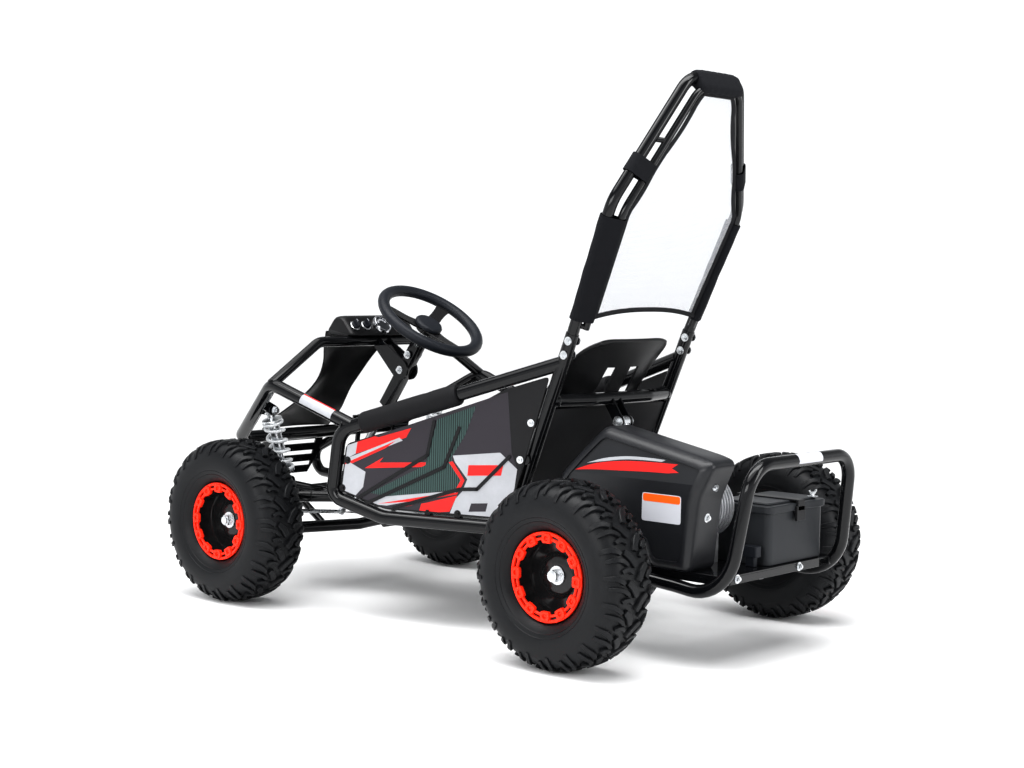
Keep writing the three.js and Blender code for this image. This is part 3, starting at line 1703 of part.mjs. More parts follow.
const tyreSolid = tyre();
const ringSolid = lugRing();
const boreFor = (radius) => (radius + runningGap) / Math.cos(Math.PI / rimSegments);
[["front", wheelbase, frontHalfTrack, spindleRadius], ["rear", 0, rearHalfTrack, axleRadius]].forEach(
  ([place, x, y, radius]) => {
    const rimSolid = rim(boreFor(radius));
    [["left", 1], ["right", -1]].forEach(([word, side]) => {
      const wheel = group(at(x, side * y, tyreRadius));
      add(`${place}_${word}_tyre`, handed(tyreSolid, side), rubberBlack, wheel);
      add(`${place}_${word}_rim`, handed(rimSolid, side), satinBlack, wheel);
      add(`${place}_${word}_ring`, handed(ringSolid, side), red, wheel);
    });
  },
);

// Shocks, each drawn hanging down from its top eye
function shockBody(bodyLength) {
  const eye = shockEyeSleeve(0);
  const stem = capBar(shockEyeHalf, springTop, -shockEye / 2);
  const tubeBody = capBar(shockTube, -bodyLength, springTop);
  const collar = capBar(collarRadius, springTop, springTop + collarHeight, roundSides);
  const eyeBore = eyeHole(0);
  const bore = capBar((shockRod + runningGap) / Math.cos(Math.PI / barSides), -bodyLength - overrun, -shockBoreTop);
  return carve(join(eye, stem, tubeBody, collar), eyeBore, bore);
}

const springTop = -shockEye - shockNeck - collarHeight;

// Sleeve across the foot or top of a shock, along its own x
function shockEyeSleeve(z) {
  return bar(at(-shockEyeHalf, 0, z), at(shockEyeHalf, 0, z), shockEye, roundSides);
}

function eyeHole(z) {
  const radius = (pivotRadius + runningGap * 2) / Math.cos(Math.PI / barSides);
  return bar(at(-shockEyeHalf - overrun, 0, z), at(shockEyeHalf + overrun, 0, z), radius);
}

function shockRodSolid(length) {
  const foot = shockEyeSleeve(-length);
  const rod = capBar(shockRod, -length, -shockRodTop);
  const neck = -length + shockEye + shockNeck;
  const collar = capBar(collarRadius, neck, neck + collarHeight, roundSides);
  const stem = capBar(shockEyeHalf, -length + shockEye / 2, neck);
  return carve(join(foot, rod, collar, stem), eyeHole(-length));
}

// Coil between the collars, one unbroken tube, with its least gap to itself
function coil(length, turns) {
  const low = -length + shockEye + shockNeck + collarHeight + gap;
  const high = springTop - gap;
  const steps = turns * 8;
  const rise = high - low - 2 * coilWire;
  const sides = 5;
  const points = [];
  const centres = [];
  for (let i = 0; i <= steps; i += 1) {
    const angle = (i * 2 * Math.PI) / 8;
    const height = low + coilWire + (rise * i) / steps;
    const centre = at(coilRadius * Math.cos(angle), coilRadius * Math.sin(angle), height);
    centres.push(centre);
    const out = at(Math.cos(angle), Math.sin(angle), 0);
    for (let k = 0; k < sides; k += 1) {
      const turn = (k * 2 * Math.PI) / sides;
      const point = centre.clone().addScaledVector(out, coilWire * Math.cos(turn));
      point.z += coilWire * Math.sin(turn);
      points.push(point);
    }
  }
  const faces = [];
  for (let i = 0; i < steps; i += 1) {
    for (let k = 0; k < sides; k += 1) {
      const next = (k + 1) % sides;
      const [a, b, c, d] = [i * sides + k, i * sides + next, (i + 1) * sides + next, (i + 1) * sides + k];
      faces.push(a, b, c, a, c, d);
    }
  }
  const end = steps * sides;
  for (let k = 1; k < sides - 1; k += 1) {
    faces.push(0, k + 1, k, end, end + k, end + k + 1);
  }
  let least = Infinity;
  centres.forEach((centre, i) => {
    centres.slice(i + 5).forEach((other) => {
      least = Math.min(least, centre.distanceTo(other) - 2 * coilWire);
    });
  });
  console.log(`coil of ${turns} turns, least gap to itself ${least.toFixed(2)} mm`);
  const geometry = new THREE.BufferGeometry();
  const flat = new Float32Array(points.flatMap((point) => [point.x, point.y, point.z]));
  geometry.setAttribute("position", new THREE.BufferAttribute(flat, 3));
  geometry.setIndex(faces);
  return toSolid(geometry);
}

// Puts a shock between its eyes: its own z runs up to the top eye, its x lies along the pin
function shock(prefix, top, foot, pin, turns) {
  const up = top.clone().sub(foot);
  const length = up.length();
  up.normalize();
  const place = group(top);
  place.setRotationFromMatrix(new THREE.Matrix4().makeBasis(pin, up.clone().cross(pin), up));
  const reach = length * shockBodyShare;
  add(`${prefix}_body`, shockBody(reach), steel, place);
  add(`${prefix}_rod`, shockRodSolid(length), steel, place);
  add(`${prefix}_spring`, coil(length, turns), zinc, place);
}

[["front_left", 1], ["front_right", -1]].forEach(([prefix, side]) => {
  const top = at(shockTopX, side * shockTopY, shockTopZ);
  const foot = at(shockTopX, side * shockFootY, shockFootZ);
  shock(`${prefix}_shock`, top, foot, at(1, 0, 0), coilTurns);
});
shock(
  "rear_shock",
  at(rearShockTopX, rearShockY, rearShockTopZ),
  at(rearShockFootX, rearShockY, rearShockFootZ),
  at(0, 1, 0),
  coilTurns + 1,
);

// Swing frame: pivot tube, rails, bridge with the shock lugs and carrier plates for the axle
function swingFrame() {
  const rail = {
    path: [
      at(swingPivotX, swingStartY, swingPivotZ),
      at(swingBendX, swingBendY, swingPivotZ),
      at(swingRearX, carrierY, swingRearZ),
      at(0, carrierY, swingRearZ),
    ],
    radius: swingRadius,
    bends: [legBend, legBend],
  };
  const carrier = block(
    at(-carrierRun, carrierY - carrierThickness / 2, tyreRadius - carrierHeight / 2),
    at(carrierRun, carrierY + carrierThickness / 2, tyreRadius + carrierHeight / 2),
  );
  const pivot = bar(at(swingPivotX, -swingHalf, swingPivotZ), at(swingPivotX, swingHalf, swingPivotZ), swingTube);
  const pivotBore = bar(
    at(swingPivotX, -swingHalf - overrun, swingPivotZ),
    at(swingPivotX, swingHalf + overrun, swingPivotZ),
    (swingBolt + runningGap) / Math.cos(Math.PI / barSides),
  );
  const bridgeZ = swingRearZ + bridgeRadius / 2;
  const bridge = bar(at(bridgeX, -carrierY, bridgeZ), at(bridgeX, carrierY, bridgeZ), bridgeRadius);
  const inner = shockEyeHalf + runningGap;
  const lug = belt(bridgeRadius, shockEye, [bridgeX, bridgeZ], [rearShockFootX, rearShockFootZ]);
  const lugs = [rearShockY + inner, rearShockY - inner - bracketPlate].map((y) =>
    sidePlate(lug, y, y + bracketPlate),
  );
  const foot = bar(
    at(rearShockFootX, rearShockY - inner - bracketPlate, rearShockFootZ),
    at(rearShockFootX, rearShockY + inner + bracketPlate, rearShockFootZ),
    pivotRadius,
  );
  const axleBore = bar(
    at(0, -carrierY * 2, tyreRadius),
    at(0, carrierY * 2, tyreRadius),
    (axleRadius + runningGap) / Math.cos(Math.PI / barSides),
  );
  return carve(join(both(join(pipe(rail), carrier)), pivot, bridge, lugs, foot), pivotBore, axleBore);
}

add("swing_frame", swingFrame(), glossBlack);

// Rear bumper: a loop from the carriers round the back, and the tray it holds
function rearBumper() {
  const half = [
    at(0, carrierY, bumperRailZ),
    at(-bumperCornerX, carrierY, bumperCornerZ),
    at(-bumperBackX, bumperHalf, bumperMidZ),
    at(-bumperTopX, bumperTopHalf, bumperTopZ),
  ];
  const other = half.map((point) => point.clone().multiply(at(1, -1, 1))).reverse();
  const bends = [legBend, kinkBend, bumperTopBend, bumperTopBend, kinkBend, legBend];
  const loop = tube([...half, ...other], swingRadius, bends);
  const outline = [
    [-trayBackX, -trayHalf],
    [-trayFrontX, -trayHalf],
    [-trayFrontX, trayHalf],
    [-trayBackX, trayHalf],
  ];
  const tray = levelPlate(outline, trayZ, trayZ + trayPlate);
  const lip = block(
    at(-trayBackX, -trayHalf, trayZ - trayLip),
    at(-trayBackX + trayPlate, trayHalf, trayZ + trayPlate),
  );
  const hold = both(
    block(at(-trayBackX, trayHalf - trayPlate, bumperCornerZ), at(-trayFrontX, carrierY, trayZ + trayPlate)),
  );
  const seats = both(
    block(
      at(-carrierRun - gap, carrierY - swingRadius * 2, bumperCornerZ - swingRadius * 2),
      at(carrierRun, carrierY + swingRadius * 2, trayZ + carrierHeight),
    ),
  );
  const notch = block(
    at(-sprocketRadius - chainHeight * 3, sprocketY - chainWidth, trayZ - overrun),
    at(0, sprocketY + chainWidth, trayZ + trayPlate + overrun),
  );
  return carve(join(loop, tray, lip, hold), seats, notch);
}

add("rear_bumper", rearBumper(), glossBlack);

// Motor with its cooling fins and foot
function motor() {
  const fin = (motorOuterY - motorInnerY) / (motorFins * 2 + 1);
  const profile = [[0, motorInnerY]];
  for (let k = 0; k <= motorFins; k += 1) {
    const y = motorInnerY + fin * 2 * k;
    profile.push([motorRadius, y], [motorRadius, y + fin]);
    if (k < motorFins) {
      profile.push([motorRadius - finDepth, y + fin], [motorRadius - finDepth, y + 2 * fin]);
    }
  }
  profile.push([0, motorOuterY]);
  const body = moved(turned(profile, rimSegments), new THREE.Matrix4().makeTranslation(motorX, 0, motorZ));
  const footBlock = block(
    at(motorX - motorRadius * motorFootShare, motorInnerY + fin, trayZ + trayPlate + gap),
    at(motorX + motorRadius * motorFootShare, motorOuterY - fin, motorZ - motorRadius * motorFootShare),
  );
  const shaft = bar(at(motorX, motorOuterY - fin, motorZ), at(motorX, sprocketY + chainWidth, motorZ), shaftRadius);
  const pinion = bar(
    at(motorX, sprocketY - sprocketThickness / 2, motorZ),
    at(motorX, sprocketY + sprocketThickness / 2, motorZ),
    pinionRadius,
    roundSides,
  );
  return join(body, footBlock, shaft, pinion);
}

add("motor", motor(), steel);

// Drive chain round both sprockets
function driveChain() {
  const inner = runningGap + gap;
  const loop = (extra, half, stretch = 1) => {
    const large = (sprocketRadius + extra) * stretch;
    const small = (pinionRadius + extra) * stretch;
    const outline = belt(large, small, [0, tyreRadius], [motorX, motorZ], roundSides);
    return sidePlate(outline, sprocketY - half, sprocketY + half);
  };
  return carve(loop(inner + chainHeight, chainWidth / 2), loop(inner, chainWidth, 1 / Math.cos(Math.PI / 18)));
}

add("drive_chain", driveChain(), steel);

// Cover over motor and chain, open towards the middle
function chainCover() {
  const outline = [
    [coverFrontX, coverFrontZ],
    [-coverCrestX, coverCrestZ],
    [-coverBackX, coverBackZ],
    [-coverTailX - coverTailStep, coverWaistZ],
    [-coverTailX, coverTailZ],
    [-coverHeelX, coverTailZ],
    [-coverArchX, coverArchZ],
    [coverLowX, coverArchZ],
    [coverToeX, coverToeZ],
    [coverNoseX, coverNoseZ],
    [coverMidX, coverMidZ],
  ];
  const shell = sidePlate(outline, coverInnerY - coverBevel, coverOuterY, coverBevel);
  const hollow = sidePlate(
    inset(outline, coverWall),
    coverInnerY - coverBevel - overrun,
    coverOuterY - coverWall,
    coverBevel,
  );
  const inboard = block(
    at(-coverBackX * 2, coverInnerY - coverBevel - overrun * 2, 0),
    at(coverBackX * 2, coverInnerY, coverFrontZ * 2),
  );
  const bottom = block(
    at(-coverTailX + coverWall, coverInnerY - coverBevel, 0),
    at(coverLowX, coverOuterY - coverWall, coverArchZ + coverWall + gap),
  );
  return carve(shell, hollow, inboard, bottom);
}

add("chain_cover", chainCover(), satinBlack);

// Battery box with an overhanging lid
function batteryBox() {
  const body = (margin) => softened(
    [
      [-boxBackX - margin, -boxRightY - margin],
      [-boxFrontX + margin, -boxRightY - margin],
      [-boxFrontX + margin, boxLeftY + margin],
      [-boxBackX - margin, boxLeftY + margin],
    ],
    boxCorner,
  );
  const base = levelPlate(body(0), trayZ + trayPlate + gap, boxTopZ);
  const lid = levelPlate(body(lidLip), boxTopZ, boxTopZ + lidHeight);
  const latch = block(
    at(-boxBackX - lidLip * 2, -boxLatchY - boxCorner, boxTopZ - lidHeight),
    at(-boxBackX, -boxLatchY + boxCorner, boxTopZ + lidHeight / 2),
  );
  return join(base, lid, latch);
}

add("battery_box", batteryBox(), grey);

// Rear axle with the sprocket and hub nuts, turning in the carriers
function rearAxle() {
  const axle = group(at(0, 0, tyreRadius));
  const end = rearHalfTrack + hubOut + overrun;
  const shaft = bar(at(0, -end, 0), at(0, end, 0), axleRadius, roundSides);
  const nuts = both(hubNut(axleRadius, rearHalfTrack));
  const back = rearHalfTrack + hubBack - runningGap;
  const shoulders = both(bar(at(0, back - shockEye, 0), at(0, back, 0), washerRadius, roundSides));
  const teeth = [];
  for (let k = 0; k < sprocketTeeth * 2; k += 1) {
    const angle = (k * Math.PI) / sprocketTeeth;
    const radius = k % 2 ? sprocketRadius : sprocketRadius - toothHeight;
    teeth.push([radius * Math.cos(angle), radius * Math.sin(angle)]);
  }
  const sprocket = sidePlate(teeth, sprocketY - sprocketThickness / 2, sprocketY + sprocketThickness / 2);
  const sprocketHub = bar(at(0, sprocketY - shockEye, 0), at(0, sprocketY, 0), washerRadius * 2, roundSides);
  add("rear_axle", join(shaft, nuts, shoulders, sprocket, sprocketHub), steel, axle);

  const discBore = (axleRadius + gap) / Math.cos(Math.PI / wheelSegments);
  const ring = washer(discRadius, discBore, -discY - discThickness, -discY, wheelSegments);
  const hub = washer(
    washerRadius * 2,
    discBore,
    -discY - discThickness - shockEye,
    -discY - discThickness,
    wheelSegments,
  );
  const holes = [];
  for (let k = 0; k < discHoles; k += 1) {
    const angle = (k * 2 * Math.PI) / discHoles;
    const reach = discRadius * discHoleShare;
    const [x, z] = [reach * Math.cos(angle), reach * Math.sin(angle)];
    holes.push(bar(at(x, -discY - discThickness - overrun, z), at(x, -discY + overrun, z), discHoleRadius, 4));
  }
  add("brake_disc", carve(join(ring, hub), holes), steel, axle);
}

rearAxle();

// Brake caliper astride the disc, on an arm from the right carrier
function brakeCaliper() {
  const reach = discRadius + caliperWall;
  const near = discRadius * caliperGripShare;
  const across = [discY - caliperHalf, discY + discThickness + caliperHalf];
  const body = block(at(-caliperRun, -across[1], tyreRadius + near), at(caliperRun, -across[0], tyreRadius + reach));
  const slot = block(
    at(-discRadius, -discY - discThickness - runningGap, 0),
    at(discRadius, -discY + runningGap, tyreRadius + discRadius + runningGap),
  );
  const armPlate = sidePlate(
    belt(caliperArm, caliperArm, [0, tyreRadius + carrierHeight / 2], [0, tyreRadius + reach - caliperArm]),
    -across[0] - caliperWall / 2,
    -across[0] + caliperWall / 2,
  );
  const foot = block(
    at(-caliperArm, -across[0] - caliperWall / 2, tyreRadius + carrierHeight / 2 - caliperArm),
    at(caliperArm, -carrierY - swingRadius - gap, tyreRadius + carrierHeight / 2),
  );
  return join(carve(body, slot), armPlate, foot);
}

add("brake_caliper", brakeCaliper(), grey);

// Pedals: pad, lever and sleeve on the cross rod
function pedal() {
  const sleeve = bar(at(0, -pedalSleeve / 2, 0), at(0, pedalSleeve / 2, 0), tabRadius, roundSides);
  const bore = bar(
    at(0, -pedalSleeve, 0),
    at(0, pedalSleeve, 0),
    (pedalPivotRadius + runningGap) / Math.cos(Math.PI / barSides),
  );
  const lever = block(at(-lugPlate / 2, -lugPlate, tabRadius / 2), at(lugPlate / 2, lugPlate, pedalHeight));
  const pad = block(
    at(-lugPlate * 1.5, -pedalPadWidth / 2, pedalHeight - pedalPadHeight),
    at(-lugPlate / 2, pedalPadWidth / 2, pedalHeight),
  );
  return carve(join(sleeve, lever, pad), bore);
}

const pedalSolid = pedal();
[["throttle", -1], ["brake", 1]].forEach(([word, side]) => {
  const place = group(at(pedalX, side * pedalY, pedalPivotZ));
  place.rotation.set(0, -pedalAngle * deg, 0);
  add(`${word}_pedal`, pedalSolid, satinBlack, place);
});

// Origin at the middle of the footprint
kart.updateMatrixWorld(true);
const bounds = new THREE.Box3().setFromObject(kart);
kart.position.set(-(bounds.min.x + bounds.max.x) / 2, -(bounds.min.y + bounds.max.y) / 2, -bounds.min.z);

export default kart;
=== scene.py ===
# %% [markdown]
# # An off road go kart, from bare solids to paint, rubber and cloth
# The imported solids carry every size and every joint. This lesson dresses them: tubes
# that really are round, knobbly tyres, sewn sleeves, a mesh net and painted plastic.
# The camera comes first, so that each piece can be judged from the same place.
# %% Load the solids and note their box
import bmesh
import bpy
import json
import math
from mathutils import Matrix, Vector


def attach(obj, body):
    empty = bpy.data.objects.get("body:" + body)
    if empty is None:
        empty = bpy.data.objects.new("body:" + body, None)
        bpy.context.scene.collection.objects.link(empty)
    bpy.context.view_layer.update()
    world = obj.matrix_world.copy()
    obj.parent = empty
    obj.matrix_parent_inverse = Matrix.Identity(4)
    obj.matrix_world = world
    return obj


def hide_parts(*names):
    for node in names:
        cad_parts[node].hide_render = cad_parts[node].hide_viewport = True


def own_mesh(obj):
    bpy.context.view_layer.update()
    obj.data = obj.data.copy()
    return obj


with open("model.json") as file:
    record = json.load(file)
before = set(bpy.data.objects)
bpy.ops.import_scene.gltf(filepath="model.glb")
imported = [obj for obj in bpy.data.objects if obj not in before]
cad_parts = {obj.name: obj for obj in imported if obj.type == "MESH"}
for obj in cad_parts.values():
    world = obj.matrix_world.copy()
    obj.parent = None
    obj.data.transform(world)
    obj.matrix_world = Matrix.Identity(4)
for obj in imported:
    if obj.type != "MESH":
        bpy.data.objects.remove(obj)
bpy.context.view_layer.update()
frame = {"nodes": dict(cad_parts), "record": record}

joint_list = frame["record"]["behaviour"]["joints"]
axle_x = next(joint["pos_m"][0] for joint in joint_list if joint["name"] == "axle_spin")
print("rear axle at x =", axle_x)

# %% [markdown]
# ## Places and the camera
# Every size below is in millimetres, with x counted forward from the rear axle and z
# up from the ground, as a builder would measure the kart. One helper turns such a
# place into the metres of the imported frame. The camera stands behind the kart on its
# left, low down, with a long lens, so the tubes hardly converge.
# %% Camera
tyre_radius, wheelbase = 165, 877
rail_radius, post_radius, hoop_radius, net_hoop_radius = 13.5, 12.5, 11, 7
bumper_radius, damper_pin_radius = 12, 4.4


def place(x, y, z):
    return Vector((x / 1000 + axle_x, y / 1000, z / 1000))


def show(thing):
    bpy.context.scene.collection.objects.link(thing)


def set_camera(azimuth, elevation, distance, target, focal_pixels, roll, width=1024, sensor=36):
    turn, lift, tilt = (math.radians(angle) for angle in (azimuth, elevation, roll))
    back = Vector((math.sin(turn) * math.cos(lift), -math.cos(turn) * math.cos(lift), math.sin(lift)))
    right = (-back).cross(Vector((0, 0, 1))).normalized()
    up = right.cross(-back)
    axes = (math.cos(tilt) * right + math.sin(tilt) * up, math.cos(tilt) * up - math.sin(tilt) * right, back)
    lens = bpy.data.cameras.new("camera")
    lens.sensor_width = sensor
    lens.lens = focal_pixels / width * sensor
    lens.clip_end = 50
    camera = bpy.data.objects.new("camera", lens)
    eye = Vector(target) + back * distance
    turned = Matrix((axes[0], axes[1], axes[2])).transposed().to_4x4()
    camera.matrix_world = Matrix.Translation(place(*eye)) @ turned
    show(camera)
    bpy.context.scene.camera = camera
    return camera


camera = set_camera(220.822, 3.805, 1634.83, (-876.91, 1502.775, 588.186), 1805.5, 1.116)
print("camera at", [round(v, 2) for v in camera.location], "lens", round(camera.data.lens, 1))

# %% [markdown]
# ## Numbers that flow through a material
# A material is a small graph. Written node by node it is hard to read, so a socket is
# wrapped in a class that knows +, -, * and /, and the sum on the page becomes the
# nodes. Everything that isn't arithmetic comes from one method, `node`.
# %% Sockets that can be added and multiplied
class Flow:
    def __init__(self, finish, socket):
        self.finish, self.socket = finish, socket

    def math(self, operation, *others):
        return self.finish.node("ShaderNodeMath", {"operation": operation}, dict(enumerate((self, *others))))

    def __add__(self, other): return self.math("ADD", other)
    def __radd__(self, other): return self.math("ADD", other)
    def __mul__(self, other): return self.math("MULTIPLY", other)
    def __rmul__(self, other): return self.math("MULTIPLY", other)
    def __sub__(self, other): return self.math("SUBTRACT", other)
    def __rsub__(self, other): return (self * -1.0).math("ADD", other)
    def __truediv__(self, other): return self.math("DIVIDE", other)
    def below(self, limit): return self.math("LESS_THAN", limit)
    def sine(self): return self.math("SINE")
    def wrap(self, span): return self.math("FLOORED_MODULO", span)


class Finish:
    def __init__(self, name, **fixed):
        self.material = bpy.data.materials.new(name)
        self.material.use_nodes = True
        self.tree = self.material.node_tree
        self.shader = self.tree.nodes["Principled BSDF"]
        for socket, value in fixed.items():
            self.shader.inputs[socket.replace("_", " ")].default_value = value
        place_node = self.tree.nodes.new("ShaderNodeTexCoord")
        self.where = Flow(self, place_node.outputs["Object"])
        parts = self.tree.nodes.new("ShaderNodeSeparateXYZ")
        self.tree.links.new(place_node.outputs["Object"], parts.inputs[0])
        self.x, self.y, self.z = (Flow(self, parts.outputs[i]) for i in range(3))

    def node(self, kind, settings=None, values=None, out=0):
        made = self.tree.nodes.new(kind)
        for key, value in (settings or {}).items():
            setattr(made, key, value)
        for key, value in (values or {}).items():
            if isinstance(value, Flow):
                self.tree.links.new(value.socket, made.inputs[key])
            else:
                made.inputs[key].default_value = value
        return Flow(self, made.outputs[out])

    def noise(self, scale, detail=2.0, rough=0.5):
        values = {"Vector": self.where, "Scale": scale, "Detail": detail, "Roughness": rough}
        return self.node("ShaderNodeTexNoise", {}, values)

    def mix(self, factor, first, second):
        settings = {"data_type": "RGBA"}
        return self.node("ShaderNodeMix", settings, {0: factor, 6: first, 7: second}, out=2)

    def feed(self, socket, flow):
        self.tree.links.new(flow.socket, self.shader.inputs[socket])
        return self

    def bump(self, height, depth, strength=1.0):
        values = {"Height": height, "Distance": depth, "Strength": strength}
        return self.feed("Normal", self.node("ShaderNodeBump", {}, values))


def tone(red, green=None, blue=None):
    return (red, red if green is None else green, red if blue is None else blue, 1.0)


print("flow and finish helpers ready")

# %% [markdown]
# ## The finishes
# Black on black is the hard part of this kart: powder coat, moulded plastic, foam
# cloth and rubber are all dark, so they are told apart by gloss and grain. The powder
# coat is shiny with a faint orange peel, the plastic has a fine leather-like grain,
# the cloth is the roughest and shows a weave, and the rubber is a little dusty.
# %% Paint, plastic and rubber
def powder_coat(name, colour, rough):
    paint = Finish(name, Coat_Weight=0.45, Coat_Roughness=0.06, IOR=1.5, Specular_IOR_Level=0.1)
    cloud = paint.noise(9.0, 3.0)
    peel = paint.noise(520.0, 1.0)
    paint.feed("Base Color", paint.mix(cloud, tone(*colour), tone(*(c * 1.5 for c in colour))))
    paint.feed("Roughness", cloud * 0.12 + (rough - 0.05))
    return paint.bump(peel, 0.00005, 0.5).material


def moulded(name, colour, rough, grain=0.00008, shine=0.24):
    plastic = Finish(name, IOR=1.46, Specular_IOR_Level=shine)
    pits = plastic.node("ShaderNodeTexVoronoi", {}, {"Vector": plastic.where, "Scale": 900.0})
    cloud = plastic.noise(14.0, 4.0)
    plastic.feed("Base Color", plastic.mix(cloud, tone(*colour), tone(*(c * 1.35 + 0.002 for c in colour))))
    plastic.feed("Roughness", cloud * 0.16 + (rough - 0.08))
    return plastic.bump(pits, grain, 0.55).material


def tyre_rubber(name):
    rubber = Finish(name, IOR=1.5, Specular_IOR_Level=0.22)
    dust = rubber.noise(38.0, 5.0, 0.65)
    fine = rubber.noise(700.0, 2.0)
    rubber.feed("Base Color", rubber.mix(dust, tone(0.004, 0.0043, 0.005), tone(0.010, 0.0108, 0.0125)))
    rubber.feed("Roughness", dust * 0.25 + 0.34)
    return rubber.bump(fine + dust * 0.6, 0.00012, 0.6).material


gloss_black = powder_coat("gloss_black", (0.0030, 0.0032, 0.0038), 0.16)
rim_black = powder_coat("rim_black", (0.009, 0.009, 0.0095), 0.24)
cover_black = moulded("cover_black", (0.010, 0.0106, 0.0126), 0.34, shine=0.4)
seat_black = moulded("seat_black", (0.0055, 0.0056, 0.0062), 0.34)
panel_black = moulded("panel_black", (0.0075, 0.0075, 0.0085), 0.34)
case_grey = moulded("case_grey", (0.017, 0.0185, 0.021), 0.42)
grip_black = moulded("grip_black", (0.008, 0.0095, 0.013), 0.44, 0.00012)
ring_red = moulded("ring_red", (0.84, 0.024, 0.006), 0.32, 0.00003)
tyre_black = tyre_rubber("tyre_black")
print("paint, plastic and rubber:", len(bpy.data.materials), "materials")

# %% [markdown]
# Metal is told by its reflections. Zinc plate is soft and slightly cloudy, cast
# aluminium is rougher and pitted, and the springs wear a pale coat over the wire.
# %% Metals
def plated(name, colour, rough, cloudy, scale=60.0, metallic=1.0):
    metal = Finish(name, Metallic=metallic)
    cloud = metal.noise(scale, 4.0, 0.6)
    metal.feed("Base Color", metal.mix(cloud, tone(*(c * 0.72 for c in colour)), tone(*colour)))
    metal.feed("Roughness", cloud * cloudy + rough)
    return metal.bump(metal.noise(scale * 12, 2.0), 0.00004, 0.4).material


zinc = plated("zinc", (0.78, 0.80, 0.82), 0.18, 0.2)
cast_alloy = plated("cast_alloy", (0.62, 0.63, 0.65), 0.32, 0.3, 120.0)
damper_steel = plated("damper_steel", (0.66, 0.67, 0.70), 0.12, 0.12, 40.0)
disc_steel = plated("disc_steel", (0.60, 0.60, 0.61), 0.25, 0.2, 90.0)
spring_white = plated("spring_white", (0.80, 0.82, 0.84), 0.25, 0.15, 80.0, 0.25)
chain_steel = plated("chain_steel", (0.30, 0.30, 0.31), 0.35, 0.25, 200.0)
print("metals:", [m.name for m in (zinc, cast_alloy, damper_steel, disc_steel, spring_white, chain_steel)])

# %% [markdown]
# The sleeves on the hoop are sewn from a coarse polyester cloth. Its weave is two
# sets of threads, one over the other, and that is exactly two sine waves at right
# angles. The net is the same idea with the gaps left open: where neither thread
# runs, the surface is clear. Its threads are finer than a pixel from the camera, so
# it reads as a pale haze, as in the photograph.
# %% Cloth and net
def woven(name, colour, thread, rough=0.85):
    cloth = Finish(name, Specular_IOR_Level=0.2)
    pitch = math.pi / thread
    over = (cloth.z * pitch).sine() * (cloth.y * pitch + cloth.x * (pitch * 0.7)).sine()
    cloud = cloth.noise(24.0, 4.0)
    height = over * 0.5 + 0.5
    cloth.feed("Base Color", cloth.mix(height * 0.7 + cloud * 0.3, tone(*(c * 0.55 for c in colour)), tone(*colour)))
    cloth.feed("Roughness", cloud * 0.1 + (rough - 0.05))
    return cloth.bump(height + cloud * 0.8, 0.00035, 0.6).material


def netting(name, colour, hole, thread):
    net = Finish(name, Roughness=0.75)
    up = (net.z / hole).wrap(1.0).below(thread)
    across = (net.y / hole).wrap(1.0).below(thread)
    mask = up.math("MAXIMUM", across)
    net.feed("Base Color", net.mix(net.noise(30.0), tone(*colour), tone(*(c * 0.92 for c in colour))))
    return net.feed("Alpha", mask).material


sleeve_cloth = woven("sleeve_cloth", (0.0075, 0.008, 0.0105), 0.0011)
binding_cloth = woven("binding_cloth", (0.016, 0.016, 0.018), 0.0008)
foam_skin = woven("foam_skin", (0.0085, 0.0085, 0.010), 0.0016, 0.66)
net_pale = netting("net_pale", (0.58, 0.59, 0.62), 0.0022, 0.2)
print("cloth and net ready")

# %% [markdown]
# The side panels carry vinyl stickers, here a plain layout of red, pale grey and
# striped fields, and bare plates stand where such a kart has its notices. The striped
# field is a sine across the panel that switches between two dark tones.
# %% Vinyl
def vinyl(name, colour, rough=0.32, speck=0.12):
    film = Finish(name, Coat_Weight=0.08, Coat_Roughness=0.15, Specular_IOR_Level=0.25)
    cloud = film.noise(26.0, 6.0, 0.7)
    film.feed("Base Color", film.mix(cloud * speck * 4, tone(*colour), tone(*(c * (1 - speck) for c in colour))))
    return film.feed("Roughness", cloud * 0.14 + rough).material


def striped(name, first, second, pitch):
    film = Finish(name, Coat_Weight=0.08, Coat_Roughness=0.2, Specular_IOR_Level=0.2)
    line = ((film.x * 0.968 + film.y * 0.252) / pitch).wrap(1.0).below(0.42)
    film.feed("Base Color", film.mix(line, tone(*first), tone(*second)))
    return film.feed("Roughness", film.noise(50.0) * 0.1 + 0.3).material


red_vinyl = vinyl("red_vinyl", (0.66, 0.014, 0.012))
pale_vinyl = vinyl("pale_vinyl", (0.47, 0.48, 0.51), 0.36, 0.3)
dark_vinyl = vinyl("dark_vinyl", (0.026, 0.0225, 0.029))
orange_vinyl = vinyl("orange_vinyl", (0.85, 0.12, 0.01))
white_vinyl = vinyl("white_vinyl", (0.52, 0.53, 0.57), 0.3, 0.05)
stripe_vinyl = striped("stripe_vinyl", (0.040, 0.078, 0.072), (0.009, 0.012, 0.013), 0.0046)
print("vinyl ready,", len(bpy.data.materials), "materials in all")

# %% [markdown]
# ## A bench to make pieces on
# A piece is gathered point by point in millimetres, then finished once: welded, its
# faces turned outward, its edges softened and its place kept in its mesh. Bent tubes
# are the heart of this kart. A tube follows straight runs with an arc at each corner,
# and each ring of points is carried along without twisting.
# %% Piece: gather, then finish
def unit(vector):
    return vector.normalized()


